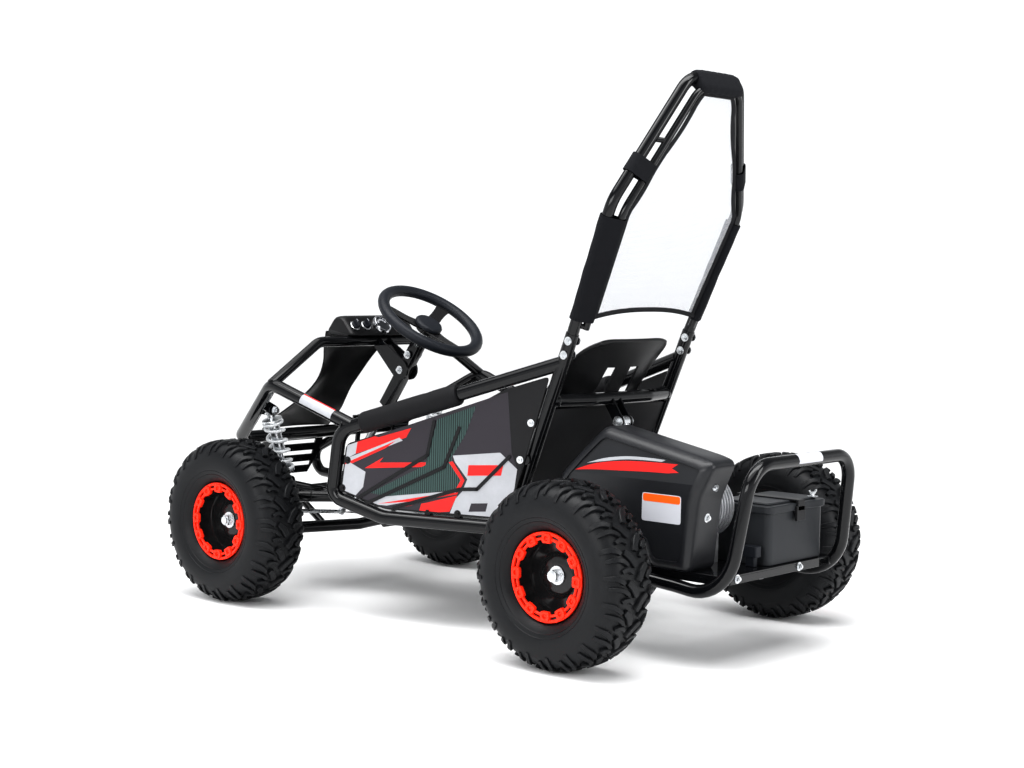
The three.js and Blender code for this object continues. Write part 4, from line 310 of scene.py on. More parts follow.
def bent(points, bends, step=9):
    points = [Vector(p) for p in points]
    stations = []
    for i, point in enumerate(points):
        before = unit(point - points[i - 1]) if i else None
        after = unit(points[i + 1] - point) if i < len(points) - 1 else None
        if before is None or after is None:
            stations.append((point, before or after))
            continue
        turn = before.angle(after)
        radius = bends[i - 1] if isinstance(bends, (list, tuple)) else bends
        if turn < 0.01 or radius == 0:
            stations.append((point, unit(before + after)))
            continue
        reach = radius * math.tan(turn / 2)
        centre = point + unit(after - before) * (radius / math.cos(turn / 2))
        arm = point - before * reach - centre
        axis = unit(before.cross(after))
        count = max(2, math.ceil(math.degrees(turn) / step))
        for k in range(count + 1):
            spin = Matrix.Rotation(turn * k / count, 3, axis)
            stations.append((centre + spin @ arm, spin @ before))
    return stations


def loft_faces(rings, count):
    """Faces between rings of count points each, with a cap on both ends."""
    faces = []
    for r in range(rings - 1):
        for k in range(count):
            n = (k + 1) % count
            faces.append((r * count + k, r * count + n, (r + 1) * count + n, (r + 1) * count + k))
    return faces + [tuple(range(count))[::-1], tuple(range((rings - 1) * count, rings * count))]


class Piece:
    def __init__(self):
        self.points, self.faces, self.marks, self.mark = [], [], [], 0

    def put(self, points, faces):
        base = len(self.points)
        self.points += [Vector(p) for p in points]
        self.faces += [[base + i for i in face] for face in faces]
        self.marks += [self.mark] * len(faces)
        return self

    def tube(self, points, radius, bends=42, sides=24):
        stations = bent(points, bends)
        tangent = stations[0][1]
        side = unit(tangent.orthogonal())
        rings = []
        for where, along in stations:
            side = unit(side - along * side.dot(along))
            lift = along.cross(side)
            for k in range(sides):
                angle = 2 * math.pi * k / sides
                rings.append(where + side * (radius * math.cos(angle)) + lift * (radius * math.sin(angle)))
        return self.put(rings, loft_faces(len(stations), sides))

    def plate(self, outline, axes, depth):
        across, up, out, origin = (Vector(a) for a in axes)
        low = [origin + across * a + up * b for a, b in outline]
        high = [p + out * depth for p in low]
        n = len(low)
        faces = [tuple(range(n))[::-1], tuple(range(n, 2 * n))]
        faces += [(i, (i + 1) % n, n + (i + 1) % n, n + i) for i in range(n)]
        return self.put(low + high, faces)

    def lathe(self, profile, centre, axis=(0, 1, 0), sides=48):
        axis = unit(Vector(axis))
        side = Vector((0, 0, 1)) if abs(axis.z) < 0.9 else Vector((1, 0, 0))
        side = unit(side - axis * side.dot(axis))
        lift = axis.cross(side)
        points, rows, n = [], [], len(profile)
        for radius, along in profile:
            if radius < 1e-6:
                rows.append([len(points)] * sides)
                points.append(Vector(centre) + axis * along)
                continue
            rows.append(list(range(len(points), len(points) + sides)))
            for k in range(sides):
                angle = 2 * math.pi * k / sides
                spoke = side * math.cos(angle) + lift * math.sin(angle)
                points.append(Vector(centre) + axis * along + spoke * radius)
        faces = []
        for i in range(n):
            a, b = rows[i], rows[(i + 1) % n]
            for k in range(sides):
                j = (k + 1) % sides
                face = [a[k], a[j], b[j], b[k]]
                face = [v for m, v in enumerate(face) if v != face[m - 1]]
                if len(set(face)) > 2:
                    faces.append(face)
        return self.put(points, faces)

    def block(self, low, high):
        (x0, y0, z0), (x1, y1, z1) = low, high
        points = [(x, y, z) for z in (z0, z1) for x, y in ((x0, y0), (x1, y0), (x1, y1), (x0, y1))]
        return self.put(points, [(3, 2, 1, 0), (4, 5, 6, 7), (0, 1, 5, 4), (1, 2, 6, 5), (2, 3, 7, 6), (3, 0, 4, 7)])

    def copy(self, other):
        self.put(other.points, other.faces)
        self.marks[-len(other.faces):] = other.marks
        return self

    def mirrored(self):
        other = Piece()
        other.put([(p.x, -p.y, p.z) for p in self.points], self.faces)
        other.marks = list(self.marks)
        return other


def lofted(rings):
    return Piece().put([p for ring in rings for p in ring], loft_faces(len(rings), len(rings[0])))


def pair(piece):
    return ("left", piece), ("right", piece.mirrored())


def smooth_edges(mesh, angle):
    mesh.shade_smooth()
    mesh.set_sharp_from_angle(angle=math.radians(angle))


def outward(mesh):
    work = bmesh.new()
    work.from_mesh(mesh)
    bmesh.ops.remove_doubles(work, verts=work.verts, dist=1e-6)
    bmesh.ops.recalc_face_normals(work, faces=work.faces)
    work.to_mesh(mesh)
    work.free()


made = {}


def finish_piece(piece, name, body, finishes, nodes=(), bevel=0, angle=40):
    mesh = bpy.data.meshes.new(name)
    mesh.from_pydata([place(*p) for p in piece.points], [], piece.faces)
    for finish in finishes if isinstance(finishes, (list, tuple)) else [finishes]:
        mesh.materials.append(finish)
    mesh.polygons.foreach_set("material_index", piece.marks)
    outward(mesh)
    smooth_edges(mesh, angle)
    return settle(bpy.data.objects.new(name, mesh), body, nodes, bevel)


def tube_work(piece, name, body, node):
    return finish_piece(piece, name, body, gloss_black, [node], angle=35)


def settle(made_object, body, nodes=(), bevel=0):
    show(made_object)
    if bevel:
        edge = made_object.modifiers.new("soft edges", "BEVEL")
        edge.width, edge.segments, edge.limit_method = bevel / 1000, 3, "ANGLE"
        edge.angle_limit = math.radians(35)
        edge.harden_normals = True
    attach(made_object, body)
    if nodes:
        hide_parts(*nodes)
    made[made_object.name] = made_object
    return made_object


def refined(node, body, finish, bevel=0, angle=50):
    mesh = frame["nodes"][node].data.copy()
    mesh.name = node + "_fine"
    mesh.materials.clear()
    mesh.materials.append(finish)
    work = bmesh.new()
    work.from_mesh(mesh)
    bmesh.ops.remove_doubles(work, verts=work.verts, dist=2e-6)
    if bevel:
        bmesh.ops.dissolve_limit(work, angle_limit=0.01, verts=work.verts, edges=work.edges)
    work.to_mesh(mesh)
    work.free()
    smooth_edges(mesh, angle)
    return settle(bpy.data.objects.new(node + "_fine", mesh), body, (node,), bevel)


print("the bench is ready")

# %% [markdown]
# ## Repeats are grown, not typed
# Bolts, tread lugs, ring bosses and chain links are one shape many times. Each is
# grown by a Geometry Nodes tree: one turns a shape round the wheel's own axis, and one
# stands a fastener on every point of a list, facing the way the point aims.
# %% Trees for repeats
def new_tree(name, inputs):
    tree = bpy.data.node_groups.new(name, "GeometryNodeTree")
    tree.interface.new_socket("Geometry", in_out="INPUT", socket_type="NodeSocketGeometry")
    for label, (kind, value) in inputs.items():
        socket = tree.interface.new_socket(label, in_out="INPUT", socket_type=kind)
        if value is not None:
            socket.default_value = value
    tree.interface.new_socket("Geometry", in_out="OUTPUT", socket_type="NodeSocketGeometry")
    start, end = tree.nodes.new("NodeGroupInput"), tree.nodes.new("NodeGroupOutput")

    def step(kind, settings=None, **values):
        node = tree.nodes.new(kind)
        for key, value in (settings or {}).items():
            setattr(node, key, value)
        for key, value in values.items():
            key = int(key[1:]) if key[0] == "n" and key[1:].isdigit() else key.replace("_", " ")
            if isinstance(value, bpy.types.NodeSocket):
                tree.links.new(value, node.inputs[key])
            else:
                node.inputs[key].default_value = value
        return node

    return tree, start.outputs, end.inputs, step


def end_tree(tree, end, step, points, shape, turn, finish):
    copies = step("GeometryNodeInstanceOnPoints", Points=points, Instance=shape, Rotation=turn)
    real = step("GeometryNodeRealizeInstances", Geometry=copies.outputs[0])
    coat = step("GeometryNodeSetMaterial", Geometry=real.outputs[0], Material=finish)
    tree.links.new(coat.outputs[0], end[0])
    return tree


def turning_tree():
    inputs = {"Count": ("NodeSocketInt", 12), "Finish": ("NodeSocketMaterial", None)}
    tree, start, end, step = new_tree("turn round the wheel", inputs)
    points = step("GeometryNodeMeshLine", Count=start["Count"], Offset=(0, 0, 0))
    index = step("GeometryNodeInputIndex")
    share = step("ShaderNodeMath", {"operation": "DIVIDE"}, n0=index.outputs[0], n1=start["Count"])
    angle = step("ShaderNodeMath", {"operation": "MULTIPLY"}, n0=share.outputs[0], n1=2 * math.pi)
    spin = step("ShaderNodeCombineXYZ", Y=angle.outputs[0])
    return end_tree(tree, end, step, points.outputs[0], start[0], spin.outputs[0], start["Finish"])


def fastener_tree():
    sizes = {"Head": 5.0, "Height": 4.0, "Washer": 8.0, "Thread": 3.0, "Stub": 0.0}
    inputs = {key: ("NodeSocketFloat", value / 1000) for key, value in sizes.items()}
    inputs.update({"Corners": ("NodeSocketInt", 6), "Finish": ("NodeSocketMaterial", None)})
    tree, start, end, step = new_tree("fasteners on points", inputs)

    def stack(corners, radius, height, base):
        lump = step("GeometryNodeMeshCylinder", Vertices=corners, Radius=radius, Depth=height)
        half = step("ShaderNodeMath", {"operation": "MULTIPLY_ADD"}, n0=height, n1=0.5, n2=base)
        lift = step("ShaderNodeCombineXYZ", Z=half.outputs[0])
        return step("GeometryNodeTransform", Geometry=lump.outputs[0], Translation=lift.outputs[0]).outputs[0]

    thin = step("ShaderNodeMath", {"operation": "MULTIPLY"}, n0=start["Height"], n1=0.25).outputs[0]
    stub = step("ShaderNodeMath", {"operation": "ADD"}, n0=start["Height"], n1=start["Stub"]).outputs[0]
    whole = step("GeometryNodeJoinGeometry")
    for lump in (
        stack(20, start["Washer"], thin, 0.0),
        stack(start["Corners"], start["Head"], start["Height"], thin),
        stack(12, start["Thread"], stub, thin),
    ):
        tree.links.new(lump, whole.inputs[0])
    aim = step("GeometryNodeInputNamedAttribute", {"data_type": "FLOAT_VECTOR"}, Name="aim")
    turn = step("FunctionNodeAlignRotationToVector", {"axis": "Z"}, Vector=aim.outputs[0])
    return end_tree(tree, end, step, start[0], whole.outputs[0], turn.outputs[0], start["Finish"])


turn_round, fasten = turning_tree(), fastener_tree()


def grown(source, tree, values, name):
    """Runs a tree on an object and returns the result as a plain mesh object."""
    show(source)
    modifier = source.modifiers.new("grow", "NODES")
    modifier.node_group = tree
    for item in tree.interface.items_tree:
        if item.in_out == "INPUT" and item.name in values:
            modifier[item.identifier] = values[item.name]
    source.update_tag()
    bpy.context.view_layer.update()
    evaluated = source.evaluated_get(bpy.context.evaluated_depsgraph_get())
    mesh = bpy.data.meshes.new_from_object(evaluated)
    source.modifiers.remove(modifier)
    bpy.data.objects.remove(source)
    mesh.name = name
    return bpy.data.objects.new(name, mesh)


def fasteners(name, body, spots, finish, head, height, washer, corners, thread, stub=0):
    mesh = bpy.data.meshes.new(name + "_points")
    mesh.from_pydata([place(*spot) for spot, _ in spots], [], [])
    aims = mesh.attributes.new("aim", "FLOAT_VECTOR", "POINT")
    aims.data.foreach_set("vector", [v for _, aim in spots for v in aim])
    sizes = {"Head": head, "Height": height, "Washer": washer, "Thread": thread, "Stub": stub}
    values = {key: value / 1000 for key, value in sizes.items()}
    values.update({"Corners": corners, "Finish": finish})
    result = grown(bpy.data.objects.new(name + "_points", mesh), fasten, values, name)
    smooth_edges(result.data, 35)
    return settle(result, body)


print("trees:", [tree.name for tree in (turn_round, fasten)])

# %% [markdown]
# ## Outlines and shells
# Sheet metal starts as a flat outline. Two helpers cover most of it: a strap round two
# circles, which is what a bracket between two tubes looks like, and an outline with
# its corners rounded. A shell is a curved grid with a wall, and cells can be left out
# of it, which makes the slots of the seat and of the bash plate.
# %% Straps, rounded outlines and shells
def strap(first, second, start, end, count=8):
    (ax, az), (bx, bz) = start, end
    run, turn = math.hypot(bx - ax, bz - az), math.atan2(bz - az, bx - ax)
    lean = math.acos(max(-1, min(1, (first - second) / run)))
    points = []
    spans = ((first, start, turn + lean, turn + 2 * math.pi - lean), (second, end, turn - lean, turn + lean))
    for radius, (cx, cz), begin, finish in spans:
        for k in range(count + 1):
            angle = begin + (finish - begin) * k / count
            points.append((cx + radius * math.cos(angle), cz + radius * math.sin(angle)))
    return points


def rectangle(low_x, low_z, high_x, high_z):
    return [(low_x, low_z), (high_x, low_z), (high_x, high_z), (low_x, high_z)]


def signed(points, size):
    """The size, negative where the outline runs clockwise."""
    area = sum(a[0] * b[1] - b[0] * a[1] for a, b in zip(points, points[1:] + points[:1]))
    return math.copysign(size, area)


def cut(points, side_of):
    """Keeps the part of an outline where side_of isn't negative."""
    keep = []
    for p, q in zip(points, points[1:] + points[:1]):
        if side_of(p) >= 0:
            keep.append(p)
        if side_of(p) * side_of(q) < 0:
            t = side_of(p) / (side_of(p) - side_of(q))
            keep.append((p[0] + (q[0] - p[0]) * t, p[1] + (q[1] - p[1]) * t))
    return keep


def inset(points, margin):
    side, moved, n = signed(points, margin), [], len(points)
    for i in range(n):
        (ax, az), (bx, bz), (cx, cz) = points[i - 1], points[i], points[(i + 1) % n]
        first, second = Vector((bx - ax, bz - az)).normalized(), Vector((cx - bx, cz - bz)).normalized()
        inward = Vector((-first.y - second.y, first.x + second.x)).normalized()
        reach = side / inward.dot(Vector((-first.y, first.x)))
        moved.append((bx + inward.x * reach, bz + inward.y * reach))
    return moved


def softened(points, radius, count=6):
    corners = []
    for i, (x, z) in enumerate(points):
        here, before, after = Vector((x, z)), Vector(points[i - 1]), Vector(points[(i + 1) % len(points)])
        reach = min(radius, (here - before).length * 0.45, (after - here).length * 0.45)
        start, end = here + (before - here).normalized() * reach, here + (after - here).normalized() * reach
        for k in range(count + 1):
            t = k / count
            corners.append(tuple(start * (1 - t) ** 2 + here * (2 * t * (1 - t)) + end * t * t))
    return corners


def skin(piece, us, vs, surface, wall, hole=lambda i, j: False, loop=False):
    rows, cols = len(vs), len(us)
    grid = [[Vector(surface(u, v)) for u in us] for v in vs]

    def pick(i, j):
        return grid[min(max(i, 0), rows - 1)][j % cols if loop else min(max(j, 0), cols - 1)]

    def solid(i, j):
        return 0 <= i < rows - 1 and (loop or 0 <= j < cols - 1) and not hole(i, j % cols)

    low = []
    for i in range(rows):
        for j in range(cols):
            normal = (pick(i, j + 1) - pick(i, j - 1)).cross(pick(i + 1, j) - pick(i - 1, j))
            low.append(pick(i, j) + normal.normalized() * wall)
    lift, faces = rows * cols, []
    for i in range(rows - 1):
        for j in range(cols if loop else cols - 1):
            if not solid(i, j):
                continue
            k = (j + 1) % cols
            a, b, c, d = i * cols + j, i * cols + k, (i + 1) * cols + k, (i + 1) * cols + j
            faces += [(d, c, b, a), (lift + a, lift + b, lift + c, lift + d)]
            for p, q, row, column in ((a, b, i - 1, j), (b, c, i, j + 1), (c, d, i + 1, j), (d, a, i, j - 1)):
                if not solid(row, column):
                    faces.append((p, q, lift + q, lift + p))
    return piece.put([p for row in grid for p in row] + low, faces)


def steps(count, low=0.0, high=1.0):
    return [low + (high - low) * k / count for k in range(count + 1)]


def upright(y):
    return ((1, 0, 0), (0, 0, 1), (0, 1, 0), (0, y, 0))


def crosswise(x):
    return ((0, 1, 0), (0, 0, 1), (1, 0, 0), (x, 0, 0))


def level(z):
    return ((1, 0, 0), (0, 1, 0), (0, 0, 1), (0, 0, z))


def cheeks(piece, outline, plane, places):
    for at in places:
        piece.plate(outline, plane(at), 4)


def both_sides(piece):
    return Piece().copy(piece).copy(piece.mirrored())


print("outlines ready; a strap has", len(strap(9, 11, (0, 0), (0, 40))), "points")

# %% [markdown]
# ## Side frames
# Each side is a loop of 27 mm tube in an upright plane that closes in towards the rear,
# with the long front leg running on from its top corner. The tubes are welded where
# they meet, so the ends simply run into each other, with a small bead round the joint.
# %% Side frames with their legs, tabs and shock brackets
lean = math.radians(14.6)
along_side = Vector((-math.cos(lean), -math.sin(lean), 0))
out_side = Vector((-math.sin(lean), math.cos(lean), 0))
side_start = Vector((603, 300, 0))


def in_side(run, z, out=0.0):
    return side_start + along_side * run + out_side * out + Vector((0, 0, z))


def slanted(out):
    return (along_side, (0, 0, 1), out_side, side_start + out_side * out)


def rail_z(run):
    return 367 + 151 * run / 476


def screw_at(a, b):
    return 476 * a, 203 + 315 * b


def bead(piece, where, axis, radius, thick=2.2):
    profile = [(radius + thick * math.cos(a), thick * math.sin(a)) for a in steps(7, 0, 2 * math.pi * 7 / 8)]
    return piece.lathe(profile, where, axis, 28)


def post_at(z):
    return Vector((262 - 0.394737 * (z - 214), 176 + 0.016447 * (z - 214), z))


side = Piece()
loop_path = [in_side(476, 518), in_side(0, 367), in_side(-15, 236), in_side(101, 203), in_side(365.3, 203)]
leg_path = [in_side(30, 376.5), Vector((788, 313, 447)), Vector((985, 225, 318)), Vector((985, 185, 318))]
side.tube(loop_path, rail_radius, [42, 26, 70], 28)
side.tube(leg_path, rail_radius, [45, 30], 28)
bead(side, in_side(22, 374.5) + (leg_path[1] - leg_path[0]).normalized() * 13, leg_path[1] - leg_path[0], 12.6)
front_run = lambda z: -15 * (367 - z) / 131
panel_screw_shares = ((0.04, 0.337), (0.017, 0.162), (0.418, 0.063), (0.553, 0.063))
post_screw_shares = ((0.868, 0.638), (0.824, 0.416))
panel_screws = [screw_at(*s) for s in panel_screw_shares]
for i, screw in enumerate(panel_screws):
    root = (front_run(screw[1]), screw[1]) if i < 2 else (screw[0], 203)
    side.plate(strap(9, 9, root, screw), slanted(-4.3), 2.5)
for x in (874.5, 851.5):
    share = (x + 2 - 788) / 197
    side.plate(strap(10, 11, (313 - 88 * share, 447 - 129 * share), (250, 386)), crosswise(x), 4)
side.tube([(849, 250, 386), (881, 250, 386)], 6, sides=16)
for name, piece in pair(side):
    tube_work(piece, name + "_side_tubes", "frame", name + "_side_frame")
print("side frames:", [len(made[n].data.polygons) for n in ("left_side_tubes", "right_side_tubes")], "faces")

# %% [markdown]
# ## Rear and front frames
# Two leaning posts carry the roll hoop; a bowed crossbar between them holds the top of
# the rear shock. In front, two floor rails turn up into the nose, and a slotted bash
# plate closes the bend. The slots are cells left out of a grid.
# %% Rear frame
rear = Piece()
half = Piece().tube([post_at(203), post_at(572)], post_radius, sides=28)
for shares in post_screw_shares:
    screw = screw_at(*shares)
    post = post_at(screw[1])
    half.plate(strap(9, 9, ((603 - post.x) / math.cos(lean), screw[1]), screw), slanted(-12), 10.2)
bead(half, post_at(203) + Vector((-5, 0, 13)), post_at(300) - post_at(203), 12)
bead(half, post_at(446) + Vector((-2.8, -13, 0)), (0.24, 0.97, 0), 12)
rear.copy(both_sides(half))
rear.tube([(262, -208, 203), (262, 208, 203)], post_radius, sides=28)
crossbar = post_at(446)
bar_path = [crossbar, (crossbar.x - 24, 85, 446), (crossbar.x - 24, -85, 446), (crossbar.x, -crossbar.y, 446)]
rear.tube(bar_path, post_radius, 42, 28)
cheeks(rear, strap(11, 11, (146.4, 446), (118, 404)), upright, (37.5, 14.5))
cheeks(rear, strap(13, 14, (262, 203), (225, 190)), upright, (148.5, -152.5))
rear.tube([(118, 12, 404), (118, 44, 404)], 6, sides=16)
rear.tube([(225, -155, 190), (225, 155, 190)], 7, sides=16)
tube_work(rear, "rear_tubes", "frame", "rear_frame")

front = Piece()
column_axis = Vector((math.sin(math.radians(34.3)), 0, -math.cos(math.radians(34.3))))
column_up = Vector((math.cos(math.radians(34.3)), 0, math.sin(math.radians(34.3))))
hub = Vector((659, 0, 560))


def on_column(distance):
    return hub + column_axis * distance


def rail_height(x):
    if x <= 618:
        return 192
    return 192 + 13 * (x - 618) / 282 if x <= 900 else 205 + 9 * (x - 900) / 178


nose = [(985, 95, 318), (1112, 95, 257), (1078, 95, 214), (900, 95, 205), (618, 95, 192), (262, 95, 192)]
half = Piece().tube(nose, 11, [30, 30, 70, 70], 24)
half.tube([(859, 95, 130.5), (972, 95, 205)], 8, sides=20)
for x in (738, 860, 982):
    half.plate(strap(9, 9, (95, rail_height(x)), (118, 205)), crosswise(x), 5)
half.tube([(738, 118, 205), (987, 118, 205)], 6, sides=16)
half.plate(strap(9, 9, (812, rail_height(812)), (812, 222)), upright(92.5), 5)
front.copy(both_sides(half))
front.tube([(985, -184.7, 318), (985, 184.7, 318)], rail_radius, sides=28)
front.tube([(862, 168, 134), (855, 0, 126), (862, -168, 134)], post_radius, 60, 24)
kink = in_side(101, 192)
front.tube([(kink.x, -274, 192), (kink.x, 274, 192)], 8, sides=20)
front.tube([(812, -95, 222), (812, 95, 222)], 5, sides=16)
bearing = (Vector((0, 1, 0)), column_up, column_axis, on_column(425.5))
front.plate(rectangle(-95, -12.5, 95, 12.5), bearing, 5)
front.lathe(rectangle(9, 0, 16, 10), on_column(423), column_axis, 28)

tilt = math.atan2(36, 104)
down, bash_run = Vector((math.sin(tilt), 0, -math.cos(tilt))), math.hypot(36, 104)
slot_rows = [bash_run * (k + 1) / 4 for k in range(3)]
rows = sorted([0.0, bash_run] + slot_rows + [r + 11 for r in slot_rows])


def bash(u, v):
    half_width = 88 - 22 * max(0.0, (v / bash_run - 0.5) * 2)
    across = max(-half_width, min(half_width, u if abs(u) < 80 else math.copysign(half_width, u)))
    return Vector((1056, across, 318)) + down * v


columns = [-88, -68, *steps(8, -60, 60), 68, 88]
slotted = lambda i, j: rows[i] in slot_rows and 0 < j < len(columns) - 2
skin(front, columns, rows, bash, -4, slotted)
tube_work(front, "front_tubes", "frame", "front_frame")
print("rear and front frames:", len(rear.faces), "and", len(front.faces), "faces")

# %% [markdown]
# ## Dash hoop and roll hoop
# The dash hoop bridges the front legs and holds the steering column in a pair of
# plates. The roll hoop is two loops: a thick one in front and a thin one inside and
# behind it for the net, tied together by short stand-offs.
# %% Hoops
dash = Piece().tube([(788, -313, 447), (795, -180, 528), (795, 180, 528), (788, 313, 447)], 11, 42, 24)
low = on_column(110)
cheeks(dash, strap(11, 22, (795, 528), (low.x, low.z)), upright, (12.5, -16.5))
square = rectangle(-12.5, -12.5, 12.5, 12.5)
frame_axes = (Vector((0, 1, 0)), column_up, column_axis, on_column(45))
dash.plate(softened(square, 3, 3), frame_axes, 160)
tube_work(dash, "dash_tubes", "frame", "dash_hoop")

outer_leg = [post_at(572), Vector((24, 199, 811)), Vector((-50, 78, 1036))]
inner_top = Vector((-63, 61, 1019))
share = (581 - 572) / (811 - 572)
inner_foot = Vector((120.7 - 96.7 * share - 13, 181.9 + 17.1 * share - 17, 581))
inner_leg = [inner_foot, Vector((11, 182, 794)), inner_top]


def whole_hoop(leg):
    return leg + [Vector((p.x, -p.y, p.z)) for p in reversed(leg)]


hoops = Piece().tube(whole_hoop(outer_leg), hoop_radius, [70, 40, 40, 70], 28)
hoops.tube(whole_hoop(inner_leg), net_hoop_radius, [70, 40, 40, 70], 20)


def on_leg(leg, z):
    k = 0 if z < leg[1].z else 1
    t = (z - leg[k].z) / (leg[k + 1].z - leg[k].z)
    return leg[k].lerp(leg[k + 1], t)


ties = Piece()
for z in (588, 923.5):
    ties.tube([on_leg(outer_leg, z), on_leg(inner_leg, z - 3)], 5, sides=14)
hoops.copy(both_sides(ties))
tube_work(hoops, "roll_hoop_tubes", "frame", "roll_hoop")
print("hoop reaches z =", round(max(p.z for p in hoops.points), 1), "mm")

# %% [markdown]
# ## Floor, firewall and seat
# The floor is bare sheet with folded edges. The seat is one moulded shell: a line
# from the lip over the pan and up the back, swept sideways, with its sides curling
# up. Its rim is rolled, and two slots for a belt go through the back.
# %% Seat and floor
def smooth_line(points, count):
    points = [Vector(p) for p in points]
    dense = []
    for i in range(len(points) - 1):
        a, b, c, d = (points[min(max(i + k, 0), len(points) - 1)] for k in (-1, 0, 1, 2))
        for t in steps(20)[: None if i == len(points) - 2 else 20]:
            square, cube = (2 * a - 5 * b + 4 * c - d) * t * t, (3 * b - a - 3 * c + d) * t ** 3
            dense.append(0.5 * (2 * b + (c - a) * t + square + cube))
    lengths = [0.0]
    for p, q in zip(dense, dense[1:]):
        lengths.append(lengths[-1] + (q - p).length)
    line, k = [], 0
    for s in steps(count, 0, lengths[-1]):
        while k < len(dense) - 2 and lengths[k + 1] < s:
            k += 1
        line.append(dense[k].lerp(dense[k + 1], (s - lengths[k]) / max(1e-9, lengths[k + 1] - lengths[k])))
    return line


seat_rows = 64
seat_line = smooth_line([
    (440, 140, 292), (406, 150, 277), (330, 150, 262), (268, 150, 262), (238, 150, 290),
    (208, 138, 372), (186, 138, 432), (148, 130, 500), (114, 116, 556),
], seat_rows)
belt_low, belt_high = 432, 506
wing_shares = [0.1, 0.5, 1, 1, 1, 1, 0.95, 0.6, 0.15]


def seat_place(u, v):
    k = min(seat_rows - 1, int(v * seat_rows))
    middle = seat_line[k].lerp(seat_line[k + 1], v * seat_rows - k)
    ahead = seat_line[min(seat_rows, k + 2)] - seat_line[max(0, k - 1)]
    inward = Vector((ahead.z, 0, -ahead.x)).normalized()
    j = min(7, int(v * 8))
    top = max(0.0, (v - 0.9) / 0.1)
    middle = Vector((middle.x, middle.y * (1 - 0.13 * top ** 3), middle.z - 7 * top ** 2 * abs(u) ** 6))
    wing = 40 * abs(u) ** 3 * (wing_shares[j] + (wing_shares[j + 1] - wing_shares[j]) * (v * 8 - j))
    return Vector((middle.x, middle.y * u, middle.z)) + inward * wing


belt_edges = [22 / 134, 50 / 134]
us = sorted(steps(40, -1, 1) + belt_edges + [-e for e in belt_edges])
vs = steps(96)


def belt_slot(i, j):
    u, z = (us[j] + us[min(j + 1, len(us) - 1)]) / 2, seat_place(0, (vs[i] + vs[i + 1]) / 2).z
    return belt_edges[0] < abs(u) < belt_edges[1] and belt_low < z < belt_high


seat = skin(Piece(), us, vs, seat_place, -4, belt_slot)
rim_line = [seat_place(1, v) for v in steps(60)] + [seat_place(u, 1) for u in steps(24, 0.98, -0.98)]
rim_line += [seat_place(-1, v) for v in steps(60, 1, 0)]
seat.tube(rim_line, 4, 0, 12)
for x in (286, 330):
    for y in (90, -90):
        seat.tube([(x, y, 206), (x, y, 270)], 12, sides=20)
finish_piece(seat, "seat_shell", "frame", seat_black, ["seat"], angle=50)

refined("floor_pan", "frame", gloss_black, 0.6)
refined("firewall", "frame", panel_black, 0.8)
print("seat shell", len(seat.faces), "faces; slots at 36 mm either side")

# %% [markdown]
# ## Side panels and their stickers
# A panel is a flat moulding with three raised beads. The sticker fields are cut from
# vinyl and laid on it, so they are thin plates with clean edges. The layout here is a
# plain one: red, pale grey and fine stripes.
# %% Side panels
panel_loop = [(0, rail_z(0) - rail_radius), (-15, 236), (101, 203), (380, 203), (474, rail_z(474))]
panel_loop += [(350, rail_z(350)), (292, rail_z(292) - rail_radius)]
bead_lines = [
    [(0.441, 0.61), (0.412, 0.403), (0.092, 0.108)],
    [(0.555, 0.581), (0.489, 0.34), (0.109, 0.06)],
    [(0.26, 0.065), (0.56, 0.213), (0.639, 0.222), (0.779, 0.432)],
]
panel_edge = softened(inset(panel_loop, 16.5), 12)
panel = Piece().plate(panel_edge, slanted(-1.5), 3)
for line in bead_lines:
    places = [screw_at(*share) for share in line]
    for first, second in zip(places, places[1:]):
        panel.plate(strap(3.5, 3.5, first, second), slanted(1.4), 2.5)


def clipped(points, inside):
    """Keeps the part of a polygon that lies inside a convex or nearly convex outline."""
    way = signed(inside, 1)
    for a, b in zip(inside, inside[1:] + inside[:1]):
        points = cut(points, lambda p: way * ((b[0] - a[0]) * (p[1] - a[1]) - (b[1] - a[1]) * (p[0] - a[0])))
    return points


field = inset(panel_loop, 20)
convex = field[:5]
fields = [
    (1, [(0, 316), (7, 344), (93, 364), (304, 443), (364, 466), (375, 346),
         (387, 316), (381, 272), (331, 214), (102, 210), (-9, 240)]),
    (2, [(4, 305), (12, 329), (19, 345), (42, 352), (37, 323)]),
    (0, [(42, 353), (72, 361), (88, 358), (160, 380), (149, 361), (37, 323)]),
    (2, [(134, 360), (142, 355), (21, 306), (18, 313)]),
    (0, [(127, 354), (104, 338), (6, 293), (8, 302), (25, 308)]),
    (2, [(25, 305), (60, 289), (55, 259), (33, 236), (-6, 244), (-1, 295)]),
    (0, [(58, 296), (100, 320), (90, 309), (246, 320), (243, 312)]),
    (3, [(217, 400), (299, 430), (276, 372), (248, 329), (254, 315), (273, 288),
         (265, 270), (112, 244), (71, 249), (192, 311)]),
    (0, [(243, 320), (251, 322), (277, 288), (267, 268), (257, 267), (269, 287)]),
    (2, [(251, 333), (351, 345), (371, 329), (387, 316), (381, 272), (331, 222),
         (328, 213), (109, 206), (106, 215), (246, 221),
         (259, 252), (273, 267), (283, 290), (256, 321)]),
    (2, [(57, 227), (95, 243), (262, 267), (256, 260), (163, 240), (109, 227)]),
    (0, [(88, 229), (196, 252), (264, 264), (262, 260), (170, 240)]),
    (0, [(123, 223), (196, 239), (262, 258), (246, 226), (136, 211)]),
    (1, [(133, 224), (185, 237), (180, 221), (140, 217)]),
    (0, [(285, 317), (358, 322), (354, 302), (283, 297)]),
    (1, [(292, 245), (327, 248), (323, 232), (287, 229)]),
    (0, [(250, 216), (333, 223), (331, 217), (247, 213)]),
]
art = Piece()
